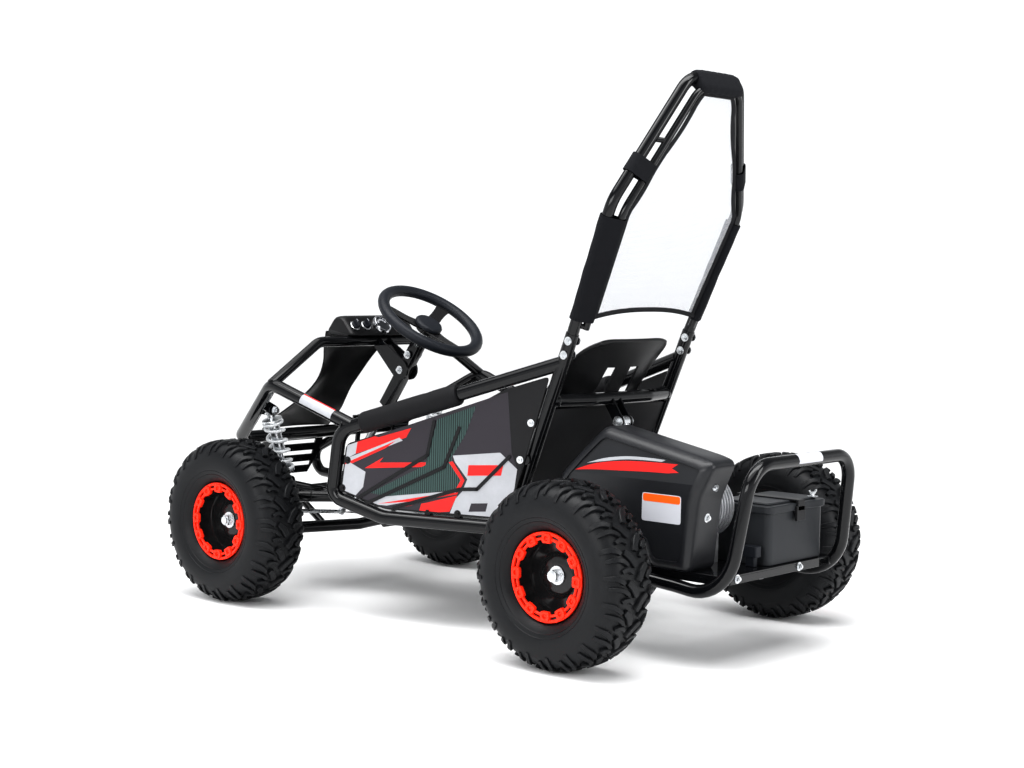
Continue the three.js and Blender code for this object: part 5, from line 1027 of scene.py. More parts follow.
for k, (mark, points) in enumerate(fields):
    art.mark = mark
    shape = clipped(points, convex)
    if shape:
        art.plate(shape, slanted(1.55 + 0.04 * k), 0.16)
films = [red_vinyl, dark_vinyl, pale_vinyl, stripe_vinyl]
for (name, piece), (_, film) in zip(pair(panel), pair(art)):
    finish_piece(piece, name + "_panel", "frame", panel_black, [name + "_side_panel"], bevel=0.7)
    finish_piece(film, name + "_panel_film", "frame", films)
print("panel films:", len(fields), "fields of", len(films), "colours")

# %% [markdown]
# ## Foam sleeves, hoop sleeves, pad and net
# The foam on the top rails is soft: it is pinched a little at both ends and dimpled
# where it is strapped. The hoop wears a sewn sleeve round both tubes of each leg, a
# padded roll across the top and a narrow band between them.
# %% Foam and cloth
start, end = in_side(52, rail_z(52)), in_side(262, rail_z(262))
length = (end - start).length
profile = [(13.8, 0.0), (18.5, 0.4), (20.2, 3)]
for s in steps(24, 8, length - 8):
    dimple = sum(0.9 * math.exp(-(((s - c) / 7) ** 2)) for c in (length * 0.3, length * 0.7))
    profile.append((21 - dimple, s))
profile += [(20.2, length - 3), (18.5, length - 0.4), (13.8, length)]
foam = Piece().lathe(profile, start, end - start, 32)
for name, piece in pair(foam):
    made_foam = finish_piece(piece, name + "_foam", "frame", foam_skin, [name + "_foam_sleeve"])


sleeve_gap, sleeve_points = 2.2, 48


def leg_frame(z):
    outer, inner = on_leg(outer_leg, z), on_leg(inner_leg, z)
    up = (outer_leg[1] - outer_leg[0]).normalized() if z < 811 else (outer_leg[2] - outer_leg[1]).normalized()
    across = inner - outer
    across = across - up * across.dot(up)
    return outer, up, across.normalized(), up.cross(across).normalized(), across.length


def sleeve_place(u, z, slack=0.0):
    outer, up, across, side_way, apart = leg_frame(z)
    outline = strap(hoop_radius + sleeve_gap, net_hoop_radius + sleeve_gap, (0, 0), (apart, 0), 11)
    n = len(outline)
    k = int(u * n) % n
    t = u * n - int(u * n)
    a, b = outline[k], outline[(k + 1) % n]
    x, y = a[0] + (b[0] - a[0]) * t, a[1] + (b[1] - a[1]) * t
    wave = slack * math.sin(z * 0.11 + u * 9.0) * math.sin(z * 0.037 + 1.3)
    away = Vector((x - apart / 2, y)).normalized()
    return outer + across * (x + away.x * wave) + side_way * (y + away.y * wave)


def sleeve(low, high, rows_count, slack):
    points = [u / sleeve_points for u in range(sleeve_points)]
    return skin(Piece(), points, steps(rows_count, low, high), lambda u, z: sleeve_place(u, z, slack), 1.2, loop=True)


def round_of(z):
    places = [sleeve_place(u / sleeve_points, z) for u in range(sleeve_points + 1)]
    return sum((q - p).length for p, q in zip(places, places[1:])) / 1000


sleeves = (("lower_sleeve", 599, 786, 40, 0.5, ["hoop_cover"]), ("strap_band", 862, 892, 8, 0.15, []))
for name, flip in (("left", False), ("right", True)):
    for label, low, high, rows_count, slack, nodes in sleeves:
        piece = sleeve(low, high, rows_count, slack)
        piece = piece.mirrored() if flip else piece
        cloth = finish_piece(piece, f"{name}_{label}", "frame", sleeve_cloth, nodes, angle=60)
        up = leg_frame(low)[1].z
        flat = (round_of(low + 4), (high - low) / up / 1000)

pad_outline = strap(15.5, 11.5, (-50, 1036), (-63, 1019), 14)


puff = lambda y: 1.0 - 0.14 * (abs(y) / 64) ** 8 + 0.012 * math.sin(y * 0.35)
centre_x, centre_z = -55.6, 1028.6
rings = []
for y in [-64, *steps(24, -62.5, 62.5), 64]:
    grow = puff(y) * (0.9 if abs(y) == 64 else 1)
    rings.append([(centre_x + (x - centre_x) * grow, y, centre_z + (z - centre_z) * grow) for x, z in pad_outline])
pad = lofted(rings)
finish_piece(pad, "top_pad", "frame", sleeve_cloth, angle=55)
print("sleeve goes", round(round_of(600) * 1000), "mm round the two tubes")

# %% [markdown]
# The net is a flat cut of mesh, hemmed with binding. It hangs in the plane of the
# thin hoop and bows back a little in the middle, as cloth does when it is only held
# at its edges. The hem across the bottom arches up between its two ends.
# %% Net, hem and edge bindings
net_low, net_high, net_bend, hoop_gap, binding = 621, 1008, 990, 7.6, 4


def net_edge(z):
    return on_leg(inner_leg, min(z, net_bend)).y - hoop_gap - max(0, z - net_bend) * 0.9


def net_place(u, z):
    middle = on_leg(inner_leg, min(z, inner_top.z))
    edge = net_edge(z) - binding
    for low, high, slack in ((786, 862, 4.5), (892, 1004, 6.5)):
        if low < z < high:
            edge -= slack * math.sin(math.pi * (z - low) / (high - low))
    belly = (1 - u * u) * math.sin(math.pi * (z - 612) / 400)
    return Vector((middle.x - 3.5 * belly, edge * u, z))


def hem_z(u):
    return 603 + 13 * (1 - abs(u) ** 2.4)


net = skin(
    Piece(), steps(24, -1, 1), steps(32),
    lambda u, v: net_place(u, hem_z(u) + (net_high - hem_z(u)) * v), 0.6,
)
net_object = finish_piece(net, "net", "frame", net_pale, ["hoop_net"], angle=60)
wide = 2 * (net_edge(620) - binding) / 1000
heights = steps(20, net_low, net_high)
tall = sum((net_place(0, a) - net_place(0, b)).length for a, b in zip(heights, heights[1:]))
area = sum(2 * (net_edge(z) - binding) * (net_high - net_low) / 40 * 1.05 for z in steps(39, 626, 1003)) / 1e6

hem = Piece()
hem_line = [net_place(u, hem_z(u)) for u in steps(24, -1, 1)]
hem.tube(hem_line, 4.6, 0, 12)
for sign in (1, -1):
    def band(u, z, sign=sign):
        spot = net_place(sign, z)
        return Vector((spot.x + 0.8, spot.y - sign * (11 * u - 2), z))
    skin(hem, steps(3), steps(40, 606, 1006), band, 2.2 * sign)
hem.tube([net_place(u, 1007) for u in steps(12, -0.98, 0.98)], 3.2, 0, 10)
finish_piece(hem, "net_binding", "frame", binding_cloth, angle=60)
print("net", round(wide * 1000), "wide and", round(tall), "mm tall, area", round(area, 4), "square metres")

# %% [markdown]
# ## Steering
# The wheel is dished towards the driver, with a thick foam grip on three flat spokes.
# It is turned on a lathe round the column, so it stays square to it.
# %% Steering wheel and shaft
wheel_up = -column_axis


def on_wheel(radius, angle, height):
    turn = math.radians(angle)
    return hub + column_up * (radius * math.cos(turn)) + Vector((0, radius * math.sin(turn), 0)) + wheel_up * height


grip = Piece()
ring = [(107 + 12.5 * math.cos(a), 18 + 11.4 * math.sin(a)) for a in steps(19, 0, 2 * math.pi * 19 / 20)]
grip.lathe(ring, hub, wheel_up, 96)
finish_piece(grip, "steering_grip", "steering", grip_black, ["steering_wheel"], angle=60)
spider = Piece()
for angle in (60, 180, 300):
    def spoke(u, v, angle=angle):
        reach = 16 + 86 * v
        rise = 4 + 12 * (3 * v * v - 2 * v ** 3)
        width = 17 - 4 * math.sin(math.pi * v)
        return on_wheel(reach, angle, rise) + (on_wheel(1, angle + 90, 0) - hub) * (u * width)
    skin(spider, steps(6, -1, 1), steps(14), spoke, 4)
spider.lathe([(9, -9), (20, -9), (22, -7), (22, 6), (9, 7)], hub, wheel_up, 40)
finish_piece(spider, "steering_spokes", "steering", rim_black, bevel=0.8)
pad = Piece().lathe([(0, 4), (27, 4), (30, 6.5), (30, 10.5), (27.5, 13.6), (22, 15), (0, 15)], hub, wheel_up, 48)
finish_piece(pad, "steering_pad", "steering", grip_black, angle=50)
refined("steering_shaft", "steering", zinc, 0.4)
print("steering wheel", round(2 * (107 + 12.5)), "mm across")

# %% [markdown]
# ## Dash box, switches and gauge
# The dash is a soft-cornered box. Its sloped face carries two rotary switches and a
# round battery gauge with a bright bezel, whose scale is a row of pale bars.
# %% Dash
box_side = [(777, 538.5), (863, 538.5), (863, 550.5), (839, 580.5), (813, 580.5)]
box_rings = []
box_ends = ((97, 0.78), (95, 0.86), (91, 0.93), (84, 0.98), (74, 1))
for y, grow in (*((-y, grow) for y, grow in box_ends), *box_ends[::-1]):
    box_rings.append([(820 + (x - 820) * grow, y, 552 + (z - 552) * grow) for x, z in softened(box_side, 9, 5)])
box = lofted(box_rings)
finish_piece(box, "dash_case", "frame", seat_black, ["dash_box"], bevel=5)
face_out = Vector((-0.759, 0, 0.651))
face_up = Vector((0.651, 0, 0.759))


def on_face(across, up, out=0.0, y=0.0):
    return Vector((795, y + across, 559.46)) + face_up * up + face_out * out


gauge = Piece().lathe(
    [(16.6, 0.5), (22.4, 0.5), (22.6, 3), (20.6, 8.4), (18.6, 9.2), (17.4, 7.2)], on_face(0, 0), face_out, 64
)
finish_piece(gauge, "gauge_bezel", "frame", damper_steel, ["battery_gauge"], angle=40)
dial = Piece().lathe(rectangle(0, 1, 17, 6.4), on_face(0, 0), face_out, 48)
for k, mark in enumerate((1, 1, 2, 3, 3)):
    dial.mark = mark
    middle = math.radians(-64 + 32 * k)
    arc = []
    for radius, spread in ((13.4, 1), (8.8, -1)):
        for s in steps(6, -1, 1):
            angle = middle + math.radians(12) * s * spread
            arc.append((radius * math.sin(angle), radius * math.cos(angle)))
    dial.plate(arc, ((0, -1, 0), face_up, face_out, on_face(0, 0, 6.3)), 0.35)
dial_films = [case_grey, pale_vinyl, pale_vinyl, pale_vinyl]
finish_piece(dial, "gauge_dial", "frame", dial_films)


def knob(name, body, y):
    base = Piece().lathe([(5, 0.5), (11.4, 0.5), (11.4, 2.4), (10, 3.2), (5, 3.2)], on_face(0, 0, 0, y), face_out, 40)
    finish_piece(base, name + "_collar", body, zinc, angle=35)
    cap = Piece()
    cap.lathe([(0, 2.6), (9, 2.6), (9, 7), (8.2, 8), (0, 8)], on_face(0, 0, 0, y), face_out, 40)
    bar = softened(rectangle(-3, -9, 3, 9), 2.6, 4)
    cap.plate(bar, ((0, 1, 0), face_up, face_out, on_face(0, 0, 7, y)), 8)
    cap.mark = 1
    cap.plate(rectangle(-0.7, 2, 0.7, 8), ((0, 1, 0), face_up, face_out, on_face(0, 0, 14.7, y)), 0.5)
    finish_piece(cap, name + "_cap", body, [grip_black, white_vinyl], [name], bevel=0.5)


knob("power_switch", "power_knob", 78)
knob("drive_switch", "drive_knob", 46)

# %% [markdown]
# ## Nose fairing
# One bent blade of plastic, wide at both ends and waisted in the middle, with its
# edges turned down. The section at each row is a shallow arch.
# %% Fairing
def smooth_values(shares):
    return [p.y for p in smooth_line([(k * 10, s, 0) for k, s in enumerate(shares)], 64)]


widths = smooth_values([0.98, 0.86, 0.7, 0.62, 0.62, 0.72, 0.86, 0.97, 1])
bows = smooth_values([0, 0.5, 0.85, 1, 0.95, 0.75, 0.5, 0.22, 0])
crowns = smooth_values([0.2, 0.5, 0.8, 1, 1, 0.9, 0.7, 0.4, 0.2])
blade_start, blade_end = Vector((866.3, 0, 550.46)), Vector((1064, 0, 327))
blade_run = blade_end - blade_start
blade_out = Vector((-blade_run.z, 0, blade_run.x)).normalized()


def eased(line, v):
    k = min(len(line) - 2, int(v * (len(line) - 1)))
    return line[k] + (line[k + 1] - line[k]) * (v * (len(line) - 1) - k)


def blade(u, v):
    middle = blade_start + blade_run * v
    middle = middle - blade_out * (3 * eased(bows, v) + 24 * u * u * eased(crowns, v))
    return Vector((middle.x, 100 * eased(widths, v) * u, middle.z))


fairing = skin(Piece(), steps(24, -1, 1), steps(36), blade, 3)
finish_piece(fairing, "nose_blade", "frame", seat_black, ["nose_fairing"], bevel=0.9, angle=50)
print("fairing:", len(fairing.faces), "faces")

# %% [markdown]
# ## Wheels
# Each wheel is a black dished rim, a balloon tyre and a red ring with twelve bosses.
# Carcass, rim and ring are turned on the lathe. One pitch of the tread, eight curved
# lugs, is modelled flat against the carcass and then repeated twenty times round it.
# %% Rim, ring and one pitch of tread
wheel_middle = (0, 0, 0)


def rim_profile(bore):
    face = [(bore, 1.6), (bore, 12.6), (30, 12.6), (33, 11.8), (35.5, 9.4), (38.5, 7.2), (43, 6.6), (60, 6.6)]
    lip = [(64, 8), (66.6, 12), (68.8, 36), (69.6, 39.6), (70.4, 40.3), (77, 40.3), (78, 39.3), (78, 38), (77, 37.3)]
    well = [(72, 37), (71.6, 30), (71.6, -30), (72, -37), (77, -37.3), (78, -38), (78, -39.3), (77, -40.3)]
    return face + lip + well + [(70.4, -40.3), (69.4, -39), (66, 1.6)]


half_wall = [
    (0, 159), (12, 159), (24, 158.4), (34, 156.8), (42, 153.8), (49, 149), (54.5, 142.5), (58, 135), (60, 127),
    (60.6, 118), (59.8, 108), (57, 99), (52.5, 91), (46.5, 84.5), (40.6, 80), (37.3, 78.8),
]
wall_rows = 60
wall_line = smooth_line([(y, r, 0) for y, r in half_wall], wall_rows)
wall_length = sum((q - p).length for p, q in zip(wall_line, wall_line[1:]))


def on_wall(s, lift=0.0):
    t = min(wall_rows - 0.001, max(0, s / wall_length * wall_rows))
    k = int(t)
    spot = wall_line[k].lerp(wall_line[k + 1], t - k)
    run = wall_line[min(wall_rows, k + 2)] - wall_line[max(0, k - 1)]
    out = Vector((-run.y, run.x, 0)).normalized()
    return spot.x + out.x * lift, spot.y + out.y * lift


def lug(piece, path, width, side=1, shift=0.0):
    line = smooth_line([(t, s, 0) for t, s in path], 7)
    rings = []
    for k, spot in enumerate(line):
        run = (line[min(7, k + 1)] - line[max(0, k - 1)]).normalized()
        across = Vector((-run.y, run.x, 0))
        taper = 1 - 0.25 * (abs(k - 3.5) / 3.5) ** 4
        height = 6 - 4.2 * min(1, max(0, (spot.y - 34) / 32)) ** 1.3
        ring = []
        half = ((0.58, -1.5), (0.5, height * 0.8), (0.40, height))
        for reach, lift in (*half, *((-reach, lift) for reach, lift in half[::-1])):
            corner = spot + across * (width * taper * reach)
            y, radius = on_wall(abs(corner.y), lift)
            angle = (corner.x + shift) / tyre_radius
            across_y = side * math.copysign(y, corner.y)
            ring.append(Vector((radius * math.sin(angle), across_y, radius * math.cos(angle))))
        rings.append(ring)
    return piece.copy(lofted(rings))


pitches = 20
pitch = 2 * math.pi * tyre_radius / pitches
one_pitch = Piece()
for sign, shift in ((1, 0.0), (-1, pitch / 2)):
    lug(one_pitch, [(-17, 3), (-9, 7), (2, 15), (10, 25)], 12.5, sign, shift)
    lug(one_pitch, [(-13, 22), (-5, 31), (-1, 43), (-1, 60)], 8.5, sign, shift)
    lug(one_pitch, [(8, 33), (15, 40), (19, 51), (19, 68)], 9.5, sign, shift)
    lug(one_pitch, [(24, 12), (30, 19), (31, 28), (28, 36)], 8, sign, shift)

carcass = Piece()
outside = [(p.y, p.x) for p in wall_line]
outside = [(r, y) for r, y in outside[::-1]] + [(r, -y) for r, y in outside[1:]]
inside = [(72.4, -28), (96, -44), (128, -51), (146, -42), (150, 0), (146, 42), (128, 51), (96, 44), (72.4, 28)]
carcass.lathe(outside + inside, wheel_middle, sides=120)
for s in (100, 108):
    y, radius = on_wall(s, 0)
    for sign in (1, -1):
        ridge = [(radius - 1.6, sign * (y - 1)), (radius, sign * (y + 0.7)), (radius + 1.6, sign * (y - 1))]
        carcass.lathe(ridge, wheel_middle, sides=120)

base = softened([(-9.5, 58.5), (9.5, 58.5), (10.5, 70), (8, 76), (-8, 76), (-10.5, 70)], 3.5, 2)
rows = []
boss_rings = ((1.0, 40.8, 0), (1.0, 45.6, 0), (0.93, 47.1, 0), (0, 47.1, 4.6), (0, 43.6, 4.0), (0, 43.4, 0.4))
for scale, y, circle in boss_rings:
    row = []
    for x, z in base:
        if circle:
            away = Vector((x, z - 67)).normalized() * circle
            row.append((away.x, y, 67 + away.y))
        else:
            row.append((x * scale, y, 67 + (z - 67) * scale))
    rows.append(row)
boss = lofted(rows)
bands = Piece()
for section in (
    [(72.6, 40.8), (78, 40.8), (78.5, 41.4), (78.5, 44.4), (77.6, 45.4), (73, 45.4)],
    [(64, 40.8), (68.6, 40.8), (68.6, 44.2), (67.8, 45), (64.8, 45), (64, 44.2)],
):
    bands.lathe(section, wheel_middle, sides=96)
print("one pitch:", len(one_pitch.faces), "faces; carcass:", len(carcass.faces))

# %% [markdown]
# Growing the repeats once and copying the result to the four corners keeps the four
# wheels the same. The right wheels are mirror images, so their tread leans the other
# way, as a directional pair does.
# %% Four wheels
def local_mesh(piece, name, finish):
    mesh = bpy.data.meshes.new(name)
    mesh.from_pydata([Vector(p) / 1000 for p in piece.points], [], piece.faces)
    mesh.materials.append(finish)
    outward(mesh)
    return mesh


def ringed(piece, count, finish, name):
    source = bpy.data.objects.new(name, local_mesh(piece, name + "_one", finish))
    return grown(source, turn_round, {"Count": count, "Finish": finish}, name).data


def placed(meshes, name, centre, mirror, body, nodes, angle):
    work = bmesh.new()
    for mesh in meshes:
        work.from_mesh(mesh)
    flip = Matrix.Diagonal((1, -1 if mirror else 1, 1, 1))
    bmesh.ops.transform(work, matrix=Matrix.Translation(place(*centre)) @ flip, verts=work.verts)
    if mirror:
        bmesh.ops.reverse_faces(work, faces=work.faces)
    mesh = bpy.data.meshes.new(name)
    work.to_mesh(mesh)
    work.free()
    mesh.materials.append(meshes[0].materials[0])
    mesh.polygons.foreach_set("material_index", [0] * len(mesh.polygons))
    smooth_edges(mesh, angle)
    return settle(bpy.data.objects.new(name, mesh), body, nodes)


carcass_mesh = local_mesh(carcass, "carcass", tyre_black)
tread_mesh = ringed(one_pitch, pitches, tyre_black, "tread")
boss_mesh = ringed(boss, 12, ring_red, "bosses")
band_mesh = local_mesh(bands, "bands", ring_red)
wheels = {}
for end_name, x, y, bore in (("front", wheelbase, 331, 8.6), ("rear", 0, 345, 10.6)):
    rim_mesh = local_mesh(Piece().lathe(rim_profile(bore), wheel_middle, sides=96), end_name + "_rim", rim_black)
    for side_name, flip in (("left", False), ("right", True)):
        body = f"front_{side_name}_wheel" if end_name == "front" else "axle"
        key = f"{end_name}_{side_name}"
        centre = (x, -y if flip else y, tyre_radius)
        placed([carcass_mesh, tread_mesh], key + "_tread", centre, flip, body, [key + "_tyre"], 32)
        placed([rim_mesh], key + "_dish", centre, flip, body, [key + "_rim"], 30)
        placed([band_mesh, boss_mesh], key + "_bosses", centre, flip, body, [key + "_ring"], 35)
        wheels[key] = centre
print("wheels at", wheels)

# %% [markdown]
# ## Shocks
# A shock is a body, a rod and a coil. The coil is one wire whose ends lie flat on the collars.
# %% Shocks
def coil_line(top, up, pin, low, high, turns, radius):
    side_way = up.cross(pin).normalized()
    line = []
    for t in steps(turns * 20):
        turn = t * turns
        flat = 0.75
        rise = min(max((turn - flat) / (turns - 2 * flat), 0), 1)
        spot = top - up * (low + (high - low) * rise)
        angle = 2 * math.pi * turn
        line.append(spot + pin * (radius * math.cos(angle)) + side_way * (radius * math.sin(angle)))
    return line


shock_eye = [(6.6, -9), (10.4, -9), (11, -8.4), (11, 8.4), (10.4, 9), (6.6, 9)]
collar_at, wire_radius, coil_radius = 25.3, 3.4, 19


def shock(prefix, top, foot, pin, turns, body, rod_body):
    top, foot, pin = Vector(top), Vector(foot), Vector(pin)
    up = (top - foot).normalized()
    length = (top - foot).length
    tube_end = 0.56 * length
    upper = Piece().lathe(shock_eye, top, pin, 28)
    body_line = [(0, 6), (9, 6), (9, 17), (20.6, 19.6), (21, 20.4), (21, 24.4), (20.4, 25), (12, 25)]
    body_line += [(12, tube_end), (11, tube_end + 0.6), (5.8, tube_end + 0.6), (5.8, 36), (0, 36)]
    upper.lathe(body_line, top, -up, 36)
    bead(upper, top - up * 30, up, 12.2, 2.4)
    finish_piece(upper, prefix + "_damper_body", body, zinc, [prefix + "_shock_body"], angle=40)
    lower = Piece().lathe(shock_eye, foot, pin, 28)
    rod_line = [(0, 6), (9, 6), (9, 18), (20.6, 20), (21, 20.6), (21, 24.4), (20.4, 25), (9, 25)]
    rod_line += [(5, 27), (5, length - 61), (0, length - 61)]
    lower.lathe(rod_line, foot, up, 36)
    node = prefix + "_shock_rod"
    finish_piece(lower, prefix + "_damper_rod", rod_body, damper_steel, [node], angle=40)
    low, high = collar_at + wire_radius, length - collar_at - wire_radius
    wire = Piece().tube(coil_line(top, up, pin, low, high, turns, coil_radius), wire_radius, 0, 12)
    node = prefix + "_shock_spring"
    spring = finish_piece(wire, prefix + "_coil", body, spring_white, [node], angle=60)
    anchor, open_length = tuple(place(*(top - up * collar_at))), length - 50.6
    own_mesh(spring)


for side_name, sign in (("left", 1), ("right", -1)):
    shock(
        f"front_{side_name}", (865, sign * 250, 386), (865, sign * 200, 236), (1, 0, 0), 6,
        f"front_{side_name}_damper", f"front_{side_name}_damper_rod",
    )
shock("rear", (118, 28, 404), (48, 28, 232), (0, 1, 0), 7, "rear_damper", "rear_damper_rod")
print("three shocks; the rear one is", round(math.hypot(70, 172)), "mm between its eyes")

# %% [markdown]
# ## Front arms, knuckles and tie rods
# Each arm is a triangle of tube that swings on a long bolt. At its tip a yoke holds
# the knuckle by the kingpin, and the tie rod turns the knuckle.
# %% Front suspension
arm = Piece()
for x in (768, 962):
    arm.tube([(x, 118, 205), (wheelbase, 214, 203)], 12, sides=24)
    arm.lathe(rectangle(6.6, -22, 11, 22), (x, 118, 205), (1, 0, 0), 28)
arm.block((wheelbase, 220, 128), (894, 226, 206))
arm.block((860, 220, 196), (wheelbase, 226, 206)).block((860, 220, 128), (wheelbase, 226, 184))
for z in (200, 128):
    arm.plate(softened(rectangle(860, 220, 894, 253), 8, 4), level(z), 6)
arm.tube([(wheelbase, 240, 119), (wheelbase, 240, 208.4)], 6, sides=20)
cheeks(arm, strap(11, 11, (200, 205), (200, 236)), crosswise, (874.5, 851.5))
arm.tube([(851.5, 200, 236), (878.5, 200, 236)], damper_pin_radius, sides=16)
bead(arm, (wheelbase - 52, 168, 204), (0.72, 0.69, 0), 11.4, 1.6)
for name, piece in pair(arm):
    node = name + "_front_arm"
    tube_work(piece, name + "_arm_tubes", name + "_arm", node)
    refined(name + "_knuckle", name + "_upright", cast_alloy, 0.5)
    refined(name + "_tie_rod", name + "_link", zinc, 0.4)
print("front arms:", len(arm.faces), "faces each")

# %% [markdown]
# ## Swing frame, bumper and tray
# The rear axle hangs in a swing frame that turns on a tube between the posts. The
# bumper loop and the tray for motor and battery are part of it and move with it.
# %% Rear end tubes
swing = Piece()
half = Piece().tube([(225, 122, 190), (188, 140, 190), (96, 178, 172), (0, 178, 172)], 12, [45, 45], 24)
half.plate(softened(rectangle(-36, 138, 36, 192), 8, 4), upright(173), 10)
swing.copy(both_sides(half))
swing.lathe(rectangle(7.6, -148, 14, 148), (225, 0, 190), (0, 1, 0), 32)
swing.tube([(102, -178, 177), (102, 178, 177)], 10, sides=24)
cheeks(swing, strap(11, 11, (102, 177), (48, 232)), upright, (37.5, 14.5))
swing.tube([(48, 14.5, 232), (48, 41.5, 232)], 6, sides=16)
tube_work(swing, "swing_tubes", "swing", "swing_frame")

bumper = Piece()
half_path = [Vector(p) for p in ((-24, 178, 149), (-120, 178, 141), (-230, 184, 129), (-262, 162, 362))]
bumper_path = whole_hoop(half_path)
bumper.tube(bumper_path, bumper_radius, [45, 80, 55, 55, 80, 45], 32)
tray = Piece()
tray.block((-222, -168, 165), (-58, 152, 168.5)).block((-222, 152, 165), (-87, 168, 168.5))
tray.block((-222, -130, 152), (-218.5, 160, 168.5))
for y in (164.5, -178):
    tray.block((-222, y, 152), (-58, y + 13.5, 168.5))
tube_work(bumper, "bumper_loop", "swing", "rear_bumper")
finish_piece(tray, "tray", "swing", gloss_black, bevel=0.8)
print("bumper loop:", len(bumper.faces), "faces")

# %% [markdown]
# ## Motor, chain and its cover
# The motor is a finned casting, turned on the lathe. The chain is grown: a point for
# every link along the belt line carries its own turn, and a tree puts a pair of side
# plates with its roller on each.
# %% Motor and chain
motor = Piece()
profile = [(0, 38), (40, 38), (52, 39.5), (55, 42)]
for k in range(11):
    y = 46 + k * 8.6
    profile += [(54, y), (58, y + 0.6), (58, y + 4.2), (54, y + 4.8)]
profile += [(55, 146), (50, 149), (36, 150), (0, 150)]
motor.lathe(profile, (-92, 0, 270), (0, 1, 0), 64)
motor.block((-124, 56, 168.8), (-60, 132, 238))
motor.tube([(-92, 134, 270), (-92, 168, 270)], 8, sides=24)
teeth = []
for k in range(22):
    reach = 17.5 if k % 2 else 14.5
    teeth.append((reach * math.cos(k * math.pi / 11), reach * math.sin(k * math.pi / 11)))
motor.plate(teeth, ((1, 0, 0), (0, 0, 1), (0, 1, 0), (-92, 157.5, 270)), 5)
finish_piece(motor, "motor_case", "swing", cast_alloy, ["motor"], angle=35)


def links_tree():
    inputs = {"Finish": ("NodeSocketMaterial", None)}
    tree, start, end, step = new_tree("links on a line", inputs)
    turn = step("GeometryNodeInputNamedAttribute", {"data_type": "FLOAT"}, Name="turn")
    spin = step("ShaderNodeCombineXYZ", Y=turn.outputs[0])
    plate = step("GeometryNodeMeshCube", Size=(0.0125, 0.0012, 0.0062), Vertices_X=2, Vertices_Y=2, Vertices_Z=2)
    roller = step("GeometryNodeMeshCylinder", Vertices=12, Radius=0.0028, Depth=0.0074)
    laid = step("GeometryNodeTransform", Geometry=roller.outputs[0], Rotation=(math.pi / 2, 0, 0))
    whole = step("GeometryNodeJoinGeometry")
    for offset in (0.0032, -0.0032):
        moved = step("GeometryNodeTransform", Geometry=plate.outputs[0], Translation=(0, offset, 0))
        tree.links.new(moved.outputs[0], whole.inputs[0])
    tree.links.new(laid.outputs[0], whole.inputs[0])
    return end_tree(tree, end, step, start[0], whole.outputs[0], spin.outputs[0], start["Finish"])


def belt_points(spacing):
    line = [Vector((x, 160, z)) for x, z in strap(66 + 4.4, 16 + 4.4, (0, 165), (-92, 270), 60)]
    line.append(line[0].copy())
    total = sum((q - p).length for p, q in zip(line, line[1:]))
    count = round(total / spacing)
    spots, k, gone = [], 0, 0.0
    for s in steps(count, 0, total)[:-1]:
        while gone + (line[k + 1] - line[k]).length < s:
            gone += (line[k + 1] - line[k]).length
            k += 1
        run = line[k + 1] - line[k]
        spots.append((line[k] + run.normalized() * (s - gone), math.atan2(-run.z, run.x)))
    return spots


spots = belt_points(11)
mesh = bpy.data.meshes.new("chain_points")
mesh.from_pydata([place(*spot) for spot, _ in spots], [], [])
mesh.attributes.new("turn", "FLOAT", "POINT").data.foreach_set("value", [turn for _, turn in spots])
chain = grown(bpy.data.objects.new("chain_points", mesh), links_tree(), {"Finish": chain_steel}, "chain_links")
smooth_edges(chain.data, 35)
settle(chain, "swing", ["drive_chain"])
print("chain:", len(spots), "links")

# %% [markdown]
# The cover is the largest moulding at the back. Its outline is drawn once and lofted:
# rings of it run out from the open side, then round over the edge. Above a crease the
# face leans inwards, which gives the soft band of light across it.
# %% Chain cover
cover_outline = [
    (54, 406), (-164, 366), (-190, 358), (-164, 295), (-150, 168.8), (-66, 168.8),
    (-52, 206), (100, 206), (150, 262), (138, 314), (92, 366),
]
crease_z, face_lean, cover_face, cover_round = 322, 0.26, 188, 16


def leaned(x, y, z):
    return Vector((x, y - face_lean * max(0.0, z - crease_z) * max(0.0, (y - 66) / 122), z))


def face_slab(piece, points, lift, thick):
    outer = [leaned(x, cover_face, z) + Vector((0, lift, 0)) for x, z in points]
    inner = [p - Vector((0, thick, 0)) for p in outer]
    n = len(outer)
    sides = [(k, (k + 1) % n, n + (k + 1) % n, n + k) for k in range(n)]
    return piece.put(outer + inner, [tuple(range(n)), tuple(range(n, 2 * n))[::-1], *sides])


corner_steps, cover_edge = 5, cover_face - cover_round
depths = [(y, 0) for y in (112, 130, 150, cover_edge)]
for a in steps(5, math.radians(12), math.pi / 2):
    depths.append((cover_edge + cover_round * math.sin(a), cover_round * (1 - math.cos(a))))
rings = [softened(inset(cover_outline, m) if m else cover_outline, 12, corner_steps) for _, m in depths]
count = len(rings[0])


def low_faces(k):
    (x, z), (_, next_z) = rings[0][k], rings[0][(k + 1) % count]
    return z < 207 and next_z < 207 and -146 < x < 92


cover = skin(
    Piece(), list(range(count)), list(range(len(depths))),
    lambda u, v: leaned(rings[v][u][0], depths[v][0], rings[v][u][1]), -3,
    lambda i, j: i < 3 and low_faces(j), loop=True,
)
for sign in (1, -1):
    face_slab(cover, cut(rings[-1], lambda p: sign * (p[1] - crease_z)), 0, 3)
finish_piece(cover, "cover_shell", "swing", cover_black, ["chain_cover"], angle=32)

cover_film = Piece()


def on_cover(points, mark, lift):
    cover_film.mark = mark
    face_slab(cover_film, points, lift, 0.25)


def curved(points, count=14):
    return [(p.x, p.y) for p in smooth_line([(x, z, 0) for x, z in points], count)]


